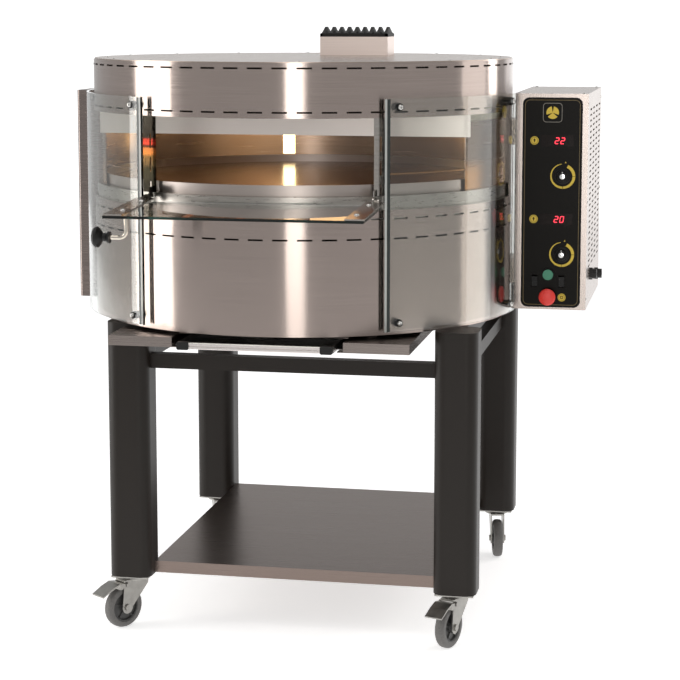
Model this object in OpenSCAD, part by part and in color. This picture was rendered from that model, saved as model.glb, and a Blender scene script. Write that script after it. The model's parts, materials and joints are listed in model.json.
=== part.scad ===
// Rotating deck pizza oven on a wheeled stand: a round insulated body with a
// turning stone deck, two curved glasses, a glass flap and a control box.
// X runs to the right, Y to the back and Z up from the floor, in millimetres.
// The origin is on the floor, under the middle of the whole oven.

/* [Body] */
// Gap between the turning deck and the chamber's wall
wall_gap = 5; // [3:0.5:8]
// Distance from the inside of the chamber's wall to the body sheets
jacket_w = 18; // [15:1:30]
// Thickness of the rolled body sheets
shell_t = 2; // [1.5:0.1:2.5]
// Height of the lower shell
lower_h = 281; // [260:1:340]
// Height of the mouth between the lower shell and the upper band
mouth_h = 205; // [190:1:240]
// Height of the upper band
band_h = 122; // [110:1:160]
// Thickness of the flat floor and roof sheets
plate_t = 2; // [1.5:0.1:3]
// Width of the flanges folded into the body
flange_w = 16; // [12:1:24]

/* [Air slots] */
// Length of one air slot
slot_l = 34; // [26:1:40]
// Height of one air slot
slot_h = 4; // [3:0.5:6]
// Number of slots in one row
slot_n = 58; // [40:1:64]
// Distance of the band's top row below its upper edge
band_top_row = 12; // [9:1:20]
// Distance of the band's lower row above its lower edge
band_low_row = 13; // [9:1:20]
// Distance of the shell's top row below its upper edge
shell_top_row = 19; // [12:1:30]
// Distance between the two rows of the lower shell
shell_row_step = 45; // [30:1:70]

/* [Curved glasses] */
// Thickness of the glasses and of the flap
glass_t = 6; // [5:0.5:8]
// Gap between the body and a curved glass
glass_gap = 12; // [9:1:16]
// Angle from the front to the near edge of a glass
glass_near_angle = 32; // [30:0.5:35]
// Angle from the front to the far edge of a glass
glass_far_angle = 85.5; // [80:0.5:87]
// Distance of a glass's lower edge above the body's bottom
glass_low = 8; // [2:1:20]
// Distance of a glass's upper edge above the band's lower edge
glass_up = 43; // [36:1:60]
// Distance of a glass screw from the glass's corner
screw_in = 37; // [28:1:45]
// Distance of a glass screw from the lower and upper edge
screw_edge = 19; // [14:1:26]
// Radius of a glass screw's shank
screw_r = 3; // [2.5:0.5:4]

/* [Deck and drive] */
// Outer radius of the turning deck
deck_r = 485; // [455:1:486]
// Height of the deck's pan, from its floor to its rim
rim_h = 40; // [36:1:44]
// Thickness of the deck's stones
stone_t = 18; // [14:1:20]
// Height of the deck's top edge above the lower shell
deck_rise = 56; // [52:1:66]
// Thickness of the deck's steel sheet
pan_t = 3; // [2:0.5:4]
// Number of ribs under the deck
rib_n = 8; // [4:1:12]
// Height of the ribs under the deck
rib_h = 12; // [8:1:14]
// Gap between two deck stones
stone_gap = 1.5; // [1:0.5:4]
// Distance of the joints between the stones from the deck's axis
stone_joint = 220; // [150:1:300]
// Turn of the deck's stone joints at rest
stone_turn = 65; // [0:1:180]
// Radius of the deck's shaft
shaft_r = 25; // [20:1:30]
// Height of the deck's bearing
bearing_h = 60; // [45:1:75]
// Module of the drive gears
gear_m = 5; // [4:0.5:5]
// Number of teeth on the deck's gear
gear_z = 48; // [40:4:52]
// Number of teeth on the motor's pinion
pinion_z = 16; // [14:2:20]
// Thickness of the deck's gear
gear_t = 20; // [14:1:26]
// Radius of the motor's output shaft
motor_shaft_r = 10; // [8:1:14]
// Width of the gearbox
gearbox_w = 110; // [90:1:120]
// Height of the gearbox
gearbox_h = 74; // [60:1:90]
// Radius of the motor
motor_r = 36; // [28:1:40]
// Length of the motor
motor_l = 150; // [110:1:200]

/* [Baking chamber] */
// Distance of the flat front plate from the deck's axis
front_y = 240; // [200:1:280]
// Height of the front plate's lower edge above the deck
front_gap = 97; // [85:1:105]
// Height of the chamber's ceiling above the deck
chamber_h = 130; // [120:1:140]
// Height of the fixed ledge round the deck above the lower shell
ledge_rise = 31; // [27:1:36]
// Depth of the hearth pan below the lower shell's top
pan_drop = 21; // [18:1:30]
// Thickness of the wool slab on the ceiling
wool_t = 90; // [60:1:110]
// Radius of a heating rod
rod_r = 4.25; // [3.5:0.25:5]
// Radius of the inner heating loops
inner_loop_r = 180; // [150:1:200]
// Radius of the outer heating loops
outer_loop_r = 320; // [290:1:350]

/* [Mouth posts] */
// Half the clear width between the posts
post_x = 252; // [240:1:262]
// Width of a post's face
post_w = 36; // [30:1:40]
// Thickness of a post's sheet
post_t = 2; // [1.5:0.5:3]
// Turn of a post's face away from the front
post_turn = 22; // [18:1:26]
// Length of a post's slots
post_slot_l = 34; // [26:1:38]
// Width of a post's slots
post_slot_w = 4.5; // [3.5:0.5:6]
// Distance between a post's slots
post_slot_step = 54; // [48:1:58]

/* [Flap] */
// Distance of the flap's hinge axis behind the body's front
hinge_in = 50; // [35:1:54]
// Height of the hinge axis above the lower shell
hinge_up = 21; // [18:1:26]
// Half the flap's width
flap_x = 284; // [279:1:292]
// Reach of the flap in front of its hinge
flap_l = 262; // [230:1:280]
// Downward slope of the open flap
flap_slope = 3; // [1:0.5:6]
// Width of the steel strips on the flap's sides
arm_w = 42; // [34:1:50]
// Thickness of the strips
arm_t = 3; // [2:0.5:4]
// Radius of the hinge pins
hinge_pin_r = 4; // [3:0.5:5]
// Radius of the handle's rod
handle_r = 5; // [4:0.5:6]
// Drop of the handle's rod below the glass
handle_drop = 51; // [40:1:65]
// Length of the handle's knob
knob_l = 41; // [34:1:50]
// Radius of the handle's knob
knob_r = 23; // [18:1:27]

/* [Top] */
// Width of the flue box
flue_w = 175; // [150:1:200]
// Depth of the flue box
flue_d = 100; // [90:1:120]
// Height of the flue box
flue_h = 46; // [36:1:60]
// Place of the flue box to the right of the deck's axis
flue_x = 80; // [60:1:100]
// Place of the flue box behind the deck's axis
flue_y = 280; // [250:1:300]
// Inner width of the square vapour duct
duct_w = 72; // [56:1:80]
// Height of the grille
grille_h = 25; // [20:1:32]
// Number of bars on the grille
grille_n = 9; // [7:1:10]

/* [Stand] */
// Height of the legs
leg_h = 611; // [590:1:680]
// Width of a leg's square tube
leg_w = 100; // [90:1:104]
// Radius of a leg's corners
leg_corner = 27; // [18:1:32]
// Wall of the legs
leg_wall = 3; // [2.5:0.5:4]
// Distance between the legs from left to right
leg_dx = 776; // [770:1:800]
// Distance between the legs from front to back
leg_dy = 791; // [770:1:800]
// Place of the stand's middle to the right of the deck's axis
stand_x = 42; // [38:1:48]
// Place of the stand's middle behind the deck's axis
stand_y = 70; // [60:1:76]
// Height of the lower beams
beam_h = 34; // [28:1:40]
// Width of the beams
beam_w = 30; // [24:1:40]
// Height of the side bearers under the body
bearer_h = 40; // [34:1:50]
// Distance of the lower beams' top below the body
beam_drop = 77; // [70:1:100]
// Height of the shelf's folded edge
shelf_h = 28; // [20:1:36]
// Thickness of the shelf's sheet
shelf_t = 2; // [1.5:0.5:3]
// Gap between the shelf's edge and the legs' lower end
shelf_rise = 2; // [0:1:40]

/* [Casters] */
// Radius of the wheels
wheel_r = 50; // [45:1:52]
// Width of a wheel
wheel_w = 24; // [20:1:28]
// Height of a whole caster
caster_h = 127; // [123:1:135]
// Distance of the wheel's axle from the swivel axis
trail = 36; // [30:1:42]
// Width of a caster's top plate
caster_plate = 90; // [80:1:94]
// Thickness of the fork's sheet
fork_t = 3; // [2.5:0.5:4]
// Radius of a wheel's axle
axle_r = 4; // [4:0.5:6]
// Turn of the front left caster
turn_front_left = 234.5; // [180:0.5:270]
// Turn of the front right caster
turn_front_right = 249.5; // [200:0.5:290]
// Turn of the rear left caster
turn_rear_left = 291; // [250:0.5:330]
// Turn of the rear right caster
turn_rear_right = 281.5; // [250:0.5:330]

/* [Base tray and drawer] */
// Half the width of the base tray
tray_x = 346; // [330:1:374]
// Distance of the tray's front behind the body's front
tray_in = 7; // [0:1:30]
// Distance of the tray's back behind the deck's axis
tray_back = 200; // [150:1:260]
// Height of the tray
tray_h = 23; // [21:1:26]
// Gap between the tray and the body's floor
tray_gap = 8; // [4:1:12]
// Half the width of the drawer
drawer_x = 178; // [150:1:190]
// Height of the drawer
drawer_h = 15; // [12:1:16]
// Depth of the drawer
drawer_l = 490; // [400:1:560]
// Half the length of the drawer's handle bar
bar_x = 150; // [120:1:155]
// Depth of the drawer's handle bar
bar_d = 12; // [8:1:16]

/* [Control box] */
// Gap between the round body and the control box
box_gap = 6; // [4:1:12]
// Width of the control box
box_w = 178; // [174:1:214]
// Depth of the control box
box_d = 455; // [400:1:480]
// Height of the control box
box_h = 521; // [515:1:560]
// Distance of the control box's bottom above the body's bottom
box_rise = 4; // [0:1:20]
// Thickness of the control box's sheet
box_t = 1.5; // [1:0.5:2]
// Width of the black fascia
fascia_w = 143; // [138:1:150]
// Height of the black fascia
fascia_h = 506; // [500:1:512]
// Thickness of the fascia
fascia_t = 3; // [2:0.5:4]
// Radius of the dials
dial_r = 19; // [15:1:22]
// Length of the dials
dial_l = 16; // [12:1:22]
// Radius of the green button
button_r = 12.5; // [10:0.5:14]
// Radius of the red mushroom button
mushroom_r = 20; // [17:1:22]
// Number of vent rows on the box's right side
vent_rows = 29; // [10:1:30]
// Number of vents in one row
vent_cols = 4; // [2:1:4]
// Distance between vent rows
vent_step = 13.7; // [12:0.1:14]

/* [Left side box] */
// Reach of the side box beyond the round body
side_out = 73; // [50:1:100]
// Depth of the side box
side_d = 110; // [80:1:160]

/* [Hidden] */
$fn = 48;
facets = 180;

wall_r = deck_r + wall_gap;
drum_r = wall_r + jacket_w + shell_t;
body_z = caster_h + leg_h;
lower_top = body_z + lower_h;
band_z = lower_top + mouth_h;
band_top = band_z + band_h;
roof_z = band_top + plate_t;
inner_r = drum_r - shell_t;
glass_r = drum_r + glass_gap;
glass_z = body_z + glass_low;
glass_h = band_z + glass_up - glass_z;

run_gap = 0.05;
part_gap = 0.4;
duct_t = 2;
duct_gap = duct_t + part_gap;

ledge_z = lower_top + ledge_rise;
hearth_z = lower_top - pan_drop;
hearth_r = inner_r - 5;
deck_top = lower_top + deck_rise;
deck_z = deck_top - rim_h;
ceiling_z = deck_top + chamber_h;
front_z = deck_top + front_gap;
soffit_z = band_z + plate_t;
skin_start = glass_far_angle + 0.5;

floor_z = body_z + 3;
bearing_z = floor_z;
gear_z0 = floor_z + 110;
gear_reach = gear_m * (gear_z + pinion_z) / 2;
hinge_y = drum_r - hinge_in;
hinge_z = lower_top + hinge_up;
glass_top_n = -1;
flap_clear = 5;
flap_back = flap_clear + max(norm([deck_r - hinge_y, deck_top - hinge_z]),
  norm([hearth_r - hinge_y, ledge_z - hinge_z]));

flap_front = flap_l * cos(flap_slope) + glass_top_n * sin(flap_slope);
front_reach = hinge_y + flap_front;
back_reach = stand_y + leg_dy / 2 + leg_w / 2;
gland_out = 17;
side_reach = drum_r + side_out;
box_left = drum_r + box_gap;
box_right = box_left + box_w;
right_reach = box_right + gland_out;
axis_x = (side_reach - right_reach) / 2;
axis_y = (front_reach - back_reach) / 2;

box_z = body_z + box_rise;
fascia_z = box_z + (box_h - fascia_h) / 2 - 1.5;
fascia_left = box_left + (box_w - fascia_w) / 2 + 4;
dial_x = fascia_left + fascia_w * 0.683;
dial_zs = [fascia_z + fascia_h * 0.255, fascia_z + fascia_h * 0.6285];
button_x = fascia_left + fascia_w * 0.46;
button_z = fascia_z + fascia_h * 0.157;
mushroom_z = fascia_z + fascia_h * 0.0534;
rocker_xs = [fascia_left + fascia_w * 0.233, fascia_left + fascia_w * 0.683];
rocker_z = fascia_z + fascia_h * 0.1255;
rocker_w = 13.6;
rocker_r = 14.5;
rocker_pivot = 3;
rocker_pin_r = 1.2;
rocker_wall = 1.6;
rocker_tilt = 10;
dial_shaft_r = 3;
display_x = fascia_left + fascia_w * 0.585;
display_w = fascia_w * 0.545;
display_h = fascia_h * 0.055;
display_zs = [fascia_z + fascia_h * 0.423, fascia_z + fascia_h * 0.7964];

beam_z = body_z - beam_drop - beam_h;
tray_z = body_z - tray_gap - tray_h;
drawer_z = tray_z + 1;
tray_front = drum_r - tray_in;
drawer_front = tray_front + 15;
notch_x = drawer_x + 19;

// Places its children at a height on the deck's axis.
module on_axis(z = 0) translate([axis_x, axis_y, z]) children();

// Block between two corners.
module block(low, high) translate(low) cube(high - low);

// Square outline with round corners, made of arcs and straight sides.
module round_square(w, r) {
  square([w, w - 2 * r], center = true);
  square([w - 2 * r, w], center = true);
  for (x = [-1, 1], y = [-1, 1])
    translate([x * (w / 2 - r), y * (w / 2 - r)]) circle(r);
}

// Rectangle with round corners, from the origin.
module round_rect(w, h, r) {
  translate([r, 0]) square([w - 2 * r, h]);
  translate([0, r]) square([w, h - 2 * r]);
  for (x = [r, w - r], y = [r, h - r]) translate([x, y]) circle(r);
}

// Tube wall of a radius, wall, height and height above the floor.
module ring(r_in, r_out, h) {
  rotate_extrude($fn = facets) translate([r_in, 0]) square([r_out - r_in, h]);
}

// Part of a tube wall between two angles, counted from the front to the right.
module arc_wall(r_in, r_out, h, a_from, a_to) {
  rotate([0, 0, a_from - 90])
    rotate_extrude(angle = a_to - a_from, $fn = facets)
      translate([r_in, 0]) square([r_out - r_in, h]);
}

// Points around the body at an angle from the front, to the right.
module at_angle(a, r, z) {
  rotate([0, 0, a]) translate([0, -r, z]) children();
}

// A row of air slots through a shell at a height.
module slot_row(z) {
  for (i = [0 : slot_n - 1])
    at_angle(i * 360 / slot_n, drum_r, z)
      cube([slot_l, 4 * shell_t, slot_h], center = true);
}

// Stand

leg_xs = [stand_x - leg_dx / 2, stand_x + leg_dx / 2];
leg_ys = [stand_y - leg_dy / 2, stand_y + leg_dy / 2];

module stand_legs() {
  cap_t = 4;
  color([0.2, 0.18, 0.16]) on_axis(caster_h)
    for (x = leg_xs, y = leg_ys) translate([x, y, 0]) {
      linear_extrude(leg_h) difference() {
        round_square(leg_w, leg_corner);
        round_square(leg_w - 2 * leg_wall, leg_corner - leg_wall);
      }
      for (z = [0, leg_h - cap_t]) translate([0, 0, z])
        linear_extrude(cap_t) round_square(leg_w - leg_wall, leg_corner - leg_wall / 2);
    }
}

module stand_frame() {
  half = leg_w / 2;
  inner_x = [leg_xs[0] + half, leg_xs[1] - half];
  inner_y = [leg_ys[0] + half, leg_ys[1] - half];
  color([0.2, 0.18, 0.16]) on_axis() {
    for (y = leg_ys)
      block([inner_x[0], y - beam_w / 2, beam_z],
        [inner_x[1], y + beam_w / 2, beam_z + beam_h]);
    for (x = leg_xs)
      block([x - beam_w / 2, inner_y[0], beam_z],
        [x + beam_w / 2, inner_y[1], beam_z + beam_h]);
    for (x = leg_xs)
      block([x - beam_w / 2, inner_y[0], body_z - bearer_h],
        [x + beam_w / 2, inner_y[1], body_z]);
    block([inner_x[0], leg_ys[1] - beam_w / 2, body_z - bearer_h],
      [inner_x[1], leg_ys[1] + beam_w / 2, body_z]);
  }
}

module lower_shelf() {
  lip = 12;
  x0 = leg_xs[0] + leg_w / 2;
  x1 = leg_xs[1] - leg_w / 2;
  y0 = leg_ys[0];
  y1 = leg_ys[1];
  low = caster_h + shelf_rise;
  color([0.52, 0.47, 0.44]) on_axis() difference() {
    block([x0, y0, low], [x1, y1, low + shelf_h]);
    block([x0 + shelf_t, y0 + shelf_t, low + shelf_t],
      [x1 - shelf_t, y1 - shelf_t, low + shelf_h - shelf_t]);
    block([x0 + lip, y0 + lip, low - 1],
      [x1 - lip, y1 - lip, low + shelf_t + 1]);
  }
}

// Casters

plate_t_caster = 4;
race_h = 6;
race_r = 26;
fork_top = caster_h - plate_t_caster - race_h - part_gap;
fork_half = wheel_w / 2 + 3;
cheek_r = 15;
pedal_pin_r = 3;
pedal_pin_x = trail + 2;
pedal_pin_z = fork_top - 10.5;

module at_caster(i, j, turn) {
  on_axis() translate([leg_xs[i], leg_ys[j], 0]) rotate([0, 0, turn]) children();
}

module caster_plates() {
  p = caster_plate / 2;
  color([0.6, 0.6, 0.6]) on_axis()
    for (x = leg_xs, y = leg_ys) translate([x, y, 0]) {
      block([-p, -p, caster_h - plate_t_caster], [p, p, caster_h]);
      translate([0, 0, caster_h - plate_t_caster - race_h])
        cylinder(r = race_r, h = race_h);
    }
}

// Fork with its swivel crown, two cheeks and the axle bolt. Its trail runs along +X.
module caster_fork(turn, i, j, pedal_pins) {
  crown_h = 4;
  cheek_top = fork_top - crown_h;
  color([0.62, 0.62, 0.62]) at_caster(i, j, turn) {
    translate([0, 0, cheek_top]) cylinder(r = race_r + 4, h = crown_h);
    block([-race_r, -fork_half - fork_t, cheek_top], [trail + 8, fork_half + fork_t, fork_top]);
    for (side = [-1, 1])
      translate([0, side * (fork_half + fork_t / 2) + fork_t / 2, 0]) rotate([90, 0, 0])
        linear_extrude(fork_t) {
          translate([trail, wheel_r]) circle(cheek_r);
          polygon([
            [-race_r, fork_top], [trail + 8, fork_top],
            [trail + cheek_r, wheel_r], [trail - cheek_r, wheel_r],
            [-race_r, cheek_top - 12]
          ]);
        }
    translate([trail, fork_half + fork_t + 4, wheel_r]) rotate([90, 0, 0])
      cylinder(r = axle_r, h = 2 * (fork_half + fork_t + 4));
    for (side = [-1, 1])
      translate([trail, side * (fork_half + fork_t + 2) + 2, wheel_r])
        rotate([90, 0, 0]) cylinder(r = 8, h = 4);
    if (pedal_pins) for (side = [0, 1]) mirror([0, side, 0])
      translate([pedal_pin_x, fork_half + 1, pedal_pin_z]) rotate([-90, 0, 0]) {
        cylinder(r = pedal_pin_r, h = fork_t + 4);
        translate([0, 0, fork_t + 3.2]) cylinder(r = pedal_pin_r + 2, h = 1.6);
      }
  }
}

// Wheel with a rounded tyre, recessed sides and a hub with a bore.
module caster_wheel(turn, i, j) {
  half = wheel_w / 2;
  hub_r = 13;
  hub_half = fork_half - part_gap;
  web_r = wheel_r - 15;
  web_half = half - 5;
  tread = 4;
  color([0.42, 0.41, 0.4]) at_caster(i, j, turn)
    translate([trail, 0, wheel_r]) rotate([90, 0, 0])
      rotate_extrude($fn = 96) polygon([
        [axle_r + run_gap, -hub_half], [hub_r, -hub_half], [hub_r + 2, -web_half],
        [web_r, -web_half], [web_r + 2, -half], [wheel_r - tread, -half],
        [wheel_r - 1, -half + tread], [wheel_r, -half + 2 * tread],
        [wheel_r, half - 2 * tread], [wheel_r - 1, half - tread],
        [wheel_r - tread, half], [web_r + 2, half], [web_r, web_half],
        [hub_r + 2, web_half], [hub_r, hub_half], [axle_r + run_gap, hub_half]
      ]);
}

// Brake pedal: a plate with a lowered toe and a shoe over the tyre, on two ears.
module brake_pedal(turn, i, j) {
  pedal_w = 44;
  ear_in = fork_half + fork_t + part_gap;
  ear_t = 3;
  start = trail + 11;
  shoe = trail + 18;
  shoe_z = wheel_r + sqrt(pow(wheel_r + 0.8, 2) - pow(shoe - trail, 2));
  toe = trail + wheel_r + 24;
  top = fork_top - 4;
  color([0.3, 0.28, 0.27]) at_caster(i, j, turn) {
    rotate([90, 0, 0]) translate([0, 0, -pedal_w / 2]) linear_extrude(pedal_w)
      polygon([
        [start, top - 2], [shoe + 8, top], [toe - 26, top - 8], [toe, top - 22],
        [toe, top - 25], [toe - 26, top - 12], [shoe + 8, top - 4], [shoe + 6, shoe_z],
        [shoe, shoe_z], [start + 3, shoe_z + 4], [start, shoe_z + 4]
      ]);
    for (side = [0, 1]) mirror([0, side, 0])
      translate([pedal_pin_x, ear_in + ear_t, pedal_pin_z]) rotate([90, 0, 0])
        linear_extrude(ear_t) difference() {
          union() {
            circle(pedal_pin_r + 3);
            translate([0, -4]) square([start - pedal_pin_x + 2, 8]);
          }
          circle(pedal_pin_r + run_gap);
        }
  }
}

module fork_front_left() caster_fork(turn_front_left, 0, 0, true);
module fork_front_right() caster_fork(turn_front_right, 1, 0, true);
module fork_rear_left() caster_fork(turn_rear_left, 0, 1, false);
module fork_rear_right() caster_fork(turn_rear_right, 1, 1, false);
module wheel_front_left() caster_wheel(turn_front_left, 0, 0);
module wheel_front_right() caster_wheel(turn_front_right, 1, 0);
module wheel_rear_left() caster_wheel(turn_rear_left, 0, 1);
module wheel_rear_right() caster_wheel(turn_rear_right, 1, 1);
module pedal_front_left() brake_pedal(turn_front_left, 0, 0);
module pedal_front_right() brake_pedal(turn_front_right, 1, 0);

// Base tray and drawer

// Closed flat box of folded sheet.
module closed_box(low, high, t) {
  difference() {
    block(low, high);
    block(low + [t, t, t], high - [t, t, t]);
  }
}

// Flat side boxes joined by a bridge over the drawer, with slide lips.
module base_tray() {
  t = 2;
  lip = 14;
  top = tray_z + tray_h;
  leg_front = leg_ys[0] - leg_w / 2 - 2;
  leg_side = leg_xs[0] + leg_w / 2 + 2;
  color([0.5, 0.46, 0.43]) on_axis() {
    closed_box([notch_x, -tray_front, tray_z], [tray_x, tray_back, top], t);
    closed_box([-tray_x, -tray_front, tray_z], [-notch_x, leg_front, top], t);
    closed_box([leg_side, leg_front - t, tray_z], [-notch_x, tray_back, top], t);
    block([-notch_x - t, -tray_front + 70, top - t], [notch_x + t, tray_back, top]);
    for (side = [-1, 1])
      block([min(side * (notch_x + t), side * (notch_x - lip)), -tray_front, tray_z],
        [max(side * (notch_x + t), side * (notch_x - lip)), tray_back, tray_z + t]);
    for (x = [-tray_x + 110, tray_x - 110], y = [-350, tray_back - 40])
      block([x - 12, y - 12, top - 1], [x + 12, y + 12, body_z]);
  }
}

module drawer_tray() {
  t = 1.5;
  flange_z = tray_z + 2 + part_gap;
  y0 = -drawer_front;
  y1 = y0 + drawer_l;
  color([0.66, 0.64, 0.62]) on_axis() {
    difference() {
      block([-drawer_x, y0, drawer_z], [drawer_x, y1, drawer_z + drawer_h]);
      block([-drawer_x + t, y0 + t, drawer_z + t],
        [drawer_x - t, y1 - t, drawer_z + drawer_h + 1]);
    }
    for (side = [-1, 1])
      block([min(side * (drawer_x - t), side * (notch_x - 3)), y0 + 40, flange_z],
        [max(side * (drawer_x - t), side * (notch_x - 3)), y1, flange_z + t]);
  }
}

// Grooved aluminium bar along the drawer's front.
module drawer_handle() {
  h = drawer_h;
  groove = 2;
  color([0.78, 0.77, 0.76]) on_axis()
    translate([-bar_x, -drawer_front, drawer_z]) rotate([90, 0, 90])
      linear_extrude(2 * bar_x) polygon([
        [0, 0], [0, h], [-bar_d + 2, h], [-bar_d, h - 2],
        [-bar_d, h * 0.6 + 1], [-bar_d + groove, h * 0.6],
        [-bar_d + groove, h * 0.45], [-bar_d, h * 0.45 - 1],
        [-bar_d, 2], [-bar_d + 2, 0]
      ]);
}

module handle_end_caps() {
  grow = 1.5;
  color([0.1, 0.1, 0.1]) on_axis()
    for (side = [-1, 1])
      translate([side * (bar_x + drawer_x) / 2, -drawer_front, drawer_z - grow])
        rotate([90, 0, 0]) translate([-(drawer_x - bar_x) / 2, 0, 0])
          linear_extrude(bar_d + grow)
            round_rect(drawer_x - bar_x, drawer_h + 2 * grow, 4);
}

// Round body

module chassis_floor() {
  rim = 20;
  color([0.6, 0.6, 0.6]) on_axis() rotate_extrude($fn = facets) polygon([
    [0, body_z], [inner_r, body_z], [inner_r, body_z + rim],
    [inner_r - 2, body_z + rim], [inner_r - 2, floor_z], [0, floor_z]
  ]);
}

module lower_shell() {
  color([0.62, 0.6, 0.57]) on_axis() difference() {
    union() {
      translate([0, 0, body_z]) ring(inner_r, drum_r, lower_h);
      translate([0, 0, lower_top - plate_t]) ring(hearth_r + 1, drum_r, plate_t);
    }
    slot_row(lower_top - shell_top_row);
    slot_row(lower_top - shell_top_row - shell_row_step);
    glass_screw_holes(0.2);
  }
}

// Fixed pan under the deck, with a raised ledge round it and a shaft hole.
module hearth_pan() {
  t = plate_t;
  ledge_in = wall_r - 3;
  color([0.66, 0.65, 0.62]) on_axis() rotate_extrude($fn = facets) polygon([
    [shaft_r + 7, hearth_z], [hearth_r, hearth_z], [hearth_r, lower_top],
    [inner_r, lower_top], [inner_r, lower_top + t], [hearth_r, lower_top + t],
    [hearth_r, ledge_z], [ledge_in, ledge_z], [ledge_in, ledge_z - t],
    [hearth_r - t, ledge_z - t], [hearth_r - t, hearth_z + t],
    [shaft_r + 7, hearth_z + t]
  ]);
}

// Rear sheet between the shell and the band, with its ends folded inward.
module rear_skin() {
  fold_a = 0.25;
  inset_a = 0.05;
  end_r = wall_r + plate_t;
  low = ledge_z - lower_top + 1;
  start = skin_start + inset_a;
  color([0.62, 0.6, 0.57]) on_axis(lower_top) {
    arc_wall(inner_r, drum_r, mouth_h, skin_start, 360 - skin_start);
    for (a = [start, 360 - start - fold_a]) translate([0, 0, low])
      arc_wall(end_r, inner_r + 1, mouth_h - low - 1, a, a + fold_a);
  }
}

module upper_band() {
  color([0.62, 0.6, 0.57]) on_axis() difference() {
    union() {
      translate([0, 0, band_z]) ring(inner_r, drum_r, band_h);
      translate([0, 0, band_top - plate_t]) ring(inner_r - flange_w, drum_r, plate_t);
      translate([0, 0, band_z]) ring(inner_r - 4, drum_r, plate_t);
    }
    slot_row(band_top - band_top_row);
    slot_row(band_z + band_low_row);
    glass_screw_holes(0.2);
  }
}

// Upright square prism at the flue's place, for the duct and its holes.
module flue_square(w, low, high)
  block([flue_x - w / 2, flue_y - w / 2, low], [flue_x + w / 2, flue_y + w / 2, high]);

module top_cover() {
  color([0.66, 0.63, 0.6]) on_axis() difference() {
    translate([0, 0, band_top]) cylinder(r = drum_r - 3, h = plate_t, $fn = facets);
    flue_square(duct_w + 2 * duct_gap, band_top - 1, roof_z + 1);
  }
}

// Sheet-metal vapour box on the roof, with the square duct up from the chamber.
module flue_box() {
  t = duct_t;
  color([0.6, 0.58, 0.55]) on_axis() difference() {
    union() {
      translate([flue_x, flue_y, roof_z])
        block([-flue_w / 2, -flue_d / 2, 0], [flue_w / 2, flue_d / 2, flue_h]);
      flue_square(duct_w + 2 * t, ceiling_z, roof_z + t);
    }
    translate([flue_x, flue_y, roof_z])
      block([-flue_w / 2 + t, -flue_d / 2 + t, t], [flue_w / 2 - t, flue_d / 2 - t, flue_h + 1]);
    flue_square(duct_w, ceiling_z - 1, roof_z + t + 1);
  }
}

// Black grille: a low frame that carries a row of tapered bars.
module flue_grille() {
  frame_h = 8;
  step = (flue_w - 14) / (grille_n - 1);
  foot = step * 0.64;
  head = step * 0.42;
  color([0.08, 0.08, 0.08]) on_axis() translate([flue_x, flue_y, roof_z + flue_h]) {
    difference() {
      block([-flue_w / 2, -flue_d / 2, 0], [flue_w / 2, flue_d / 2, frame_h]);
      block([-flue_w / 2 + 7, -flue_d / 2 + 8, -1],
        [flue_w / 2 - 7, flue_d / 2 - 8, frame_h + 1]);
    }
    for (i = [0 : grille_n - 1])
      translate([-flue_w / 2 + 7 + i * step, flue_d / 2, 0]) rotate([90, 0, 0])
        linear_extrude(flue_d) polygon([
          [-foot / 2, 0], [foot / 2, 0], [foot / 2, frame_h],
          [head / 2, grille_h], [-head / 2, grille_h], [-foot / 2, frame_h]
        ]);
  }
}

// Baking chamber

wall_start = acos((front_y - part_gap) / (wall_r + plate_t));

module chamber_wall() {
  color([0.4, 0.3, 0.22]) on_axis(ledge_z)
    arc_wall(wall_r, wall_r + plate_t, ceiling_z - ledge_z, wall_start, 360 - wall_start);
}

module chamber_ceiling() {
  t = plate_t;
  color([0.42, 0.33, 0.26]) on_axis() difference() {
    translate([0, 0, ceiling_z]) cylinder(r = wall_r + plate_t, h = t, $fn = facets);
    block([-drum_r, -drum_r, ceiling_z - 1], [drum_r, -front_y, ceiling_z + t + 1]);
    flue_square(duct_w + 2 * duct_gap, ceiling_z - 1, ceiling_z + t + 1);
  }
}

// Folded plate: a soffit under the band and the flat front of the chamber.
module front_plate() {
  t = plate_t;
  half = sqrt(pow(inner_r - 5, 2) - pow(front_y + t, 2));
  color([0.7, 0.68, 0.65]) on_axis() {
    block([-half, -front_y - t, front_z], [half, -front_y, soffit_z + t]);
    difference() {
      translate([0, 0, soffit_z]) cylinder(r = inner_r, h = t, $fn = facets);
      block([-drum_r, -front_y, soffit_z - 1], [drum_r, drum_r, soffit_z + t + 1]);
    }
  }
}

// Wool on the ceiling, round the chamber's wall and under the hearth.
module insulation() {
  slab_r = wall_r - 6;
  color([0.85, 0.82, 0.72]) on_axis() {
    difference() {
      translate([0, 0, ceiling_z + plate_t]) cylinder(r = slab_r, h = wool_t, $fn = facets);
      block([-drum_r, -drum_r, ceiling_z], [drum_r, -front_y + 2, roof_z]);
      flue_square(duct_w + 2 * duct_gap, ceiling_z, roof_z);
    }
    translate([0, 0, lower_top + plate_t + 1])
      arc_wall(hearth_r + 0.5, inner_r - 0.5, mouth_h - 6, skin_start + 2, 358 - skin_start);
    translate([0, 0, hearth_z - 40])
      ring(shaft_r + 12, hearth_r - 3, 40);
  }
}

// One bent heating rod with two upright ends.
module heating_loop(r, z, end_z, sweep) {
  lean = (360 - sweep) / 2;
  rotate([0, 0, lean - 90]) rotate_extrude(angle = sweep, $fn = 72)
    translate([r, z]) circle(rod_r, $fn = 20);
  for (a = [lean, -lean])
    at_angle(a, r, 0) translate([0, 0, min(z, end_z)])
      cylinder(r = rod_r, h = abs(end_z - z), $fn = 20);
}

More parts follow.
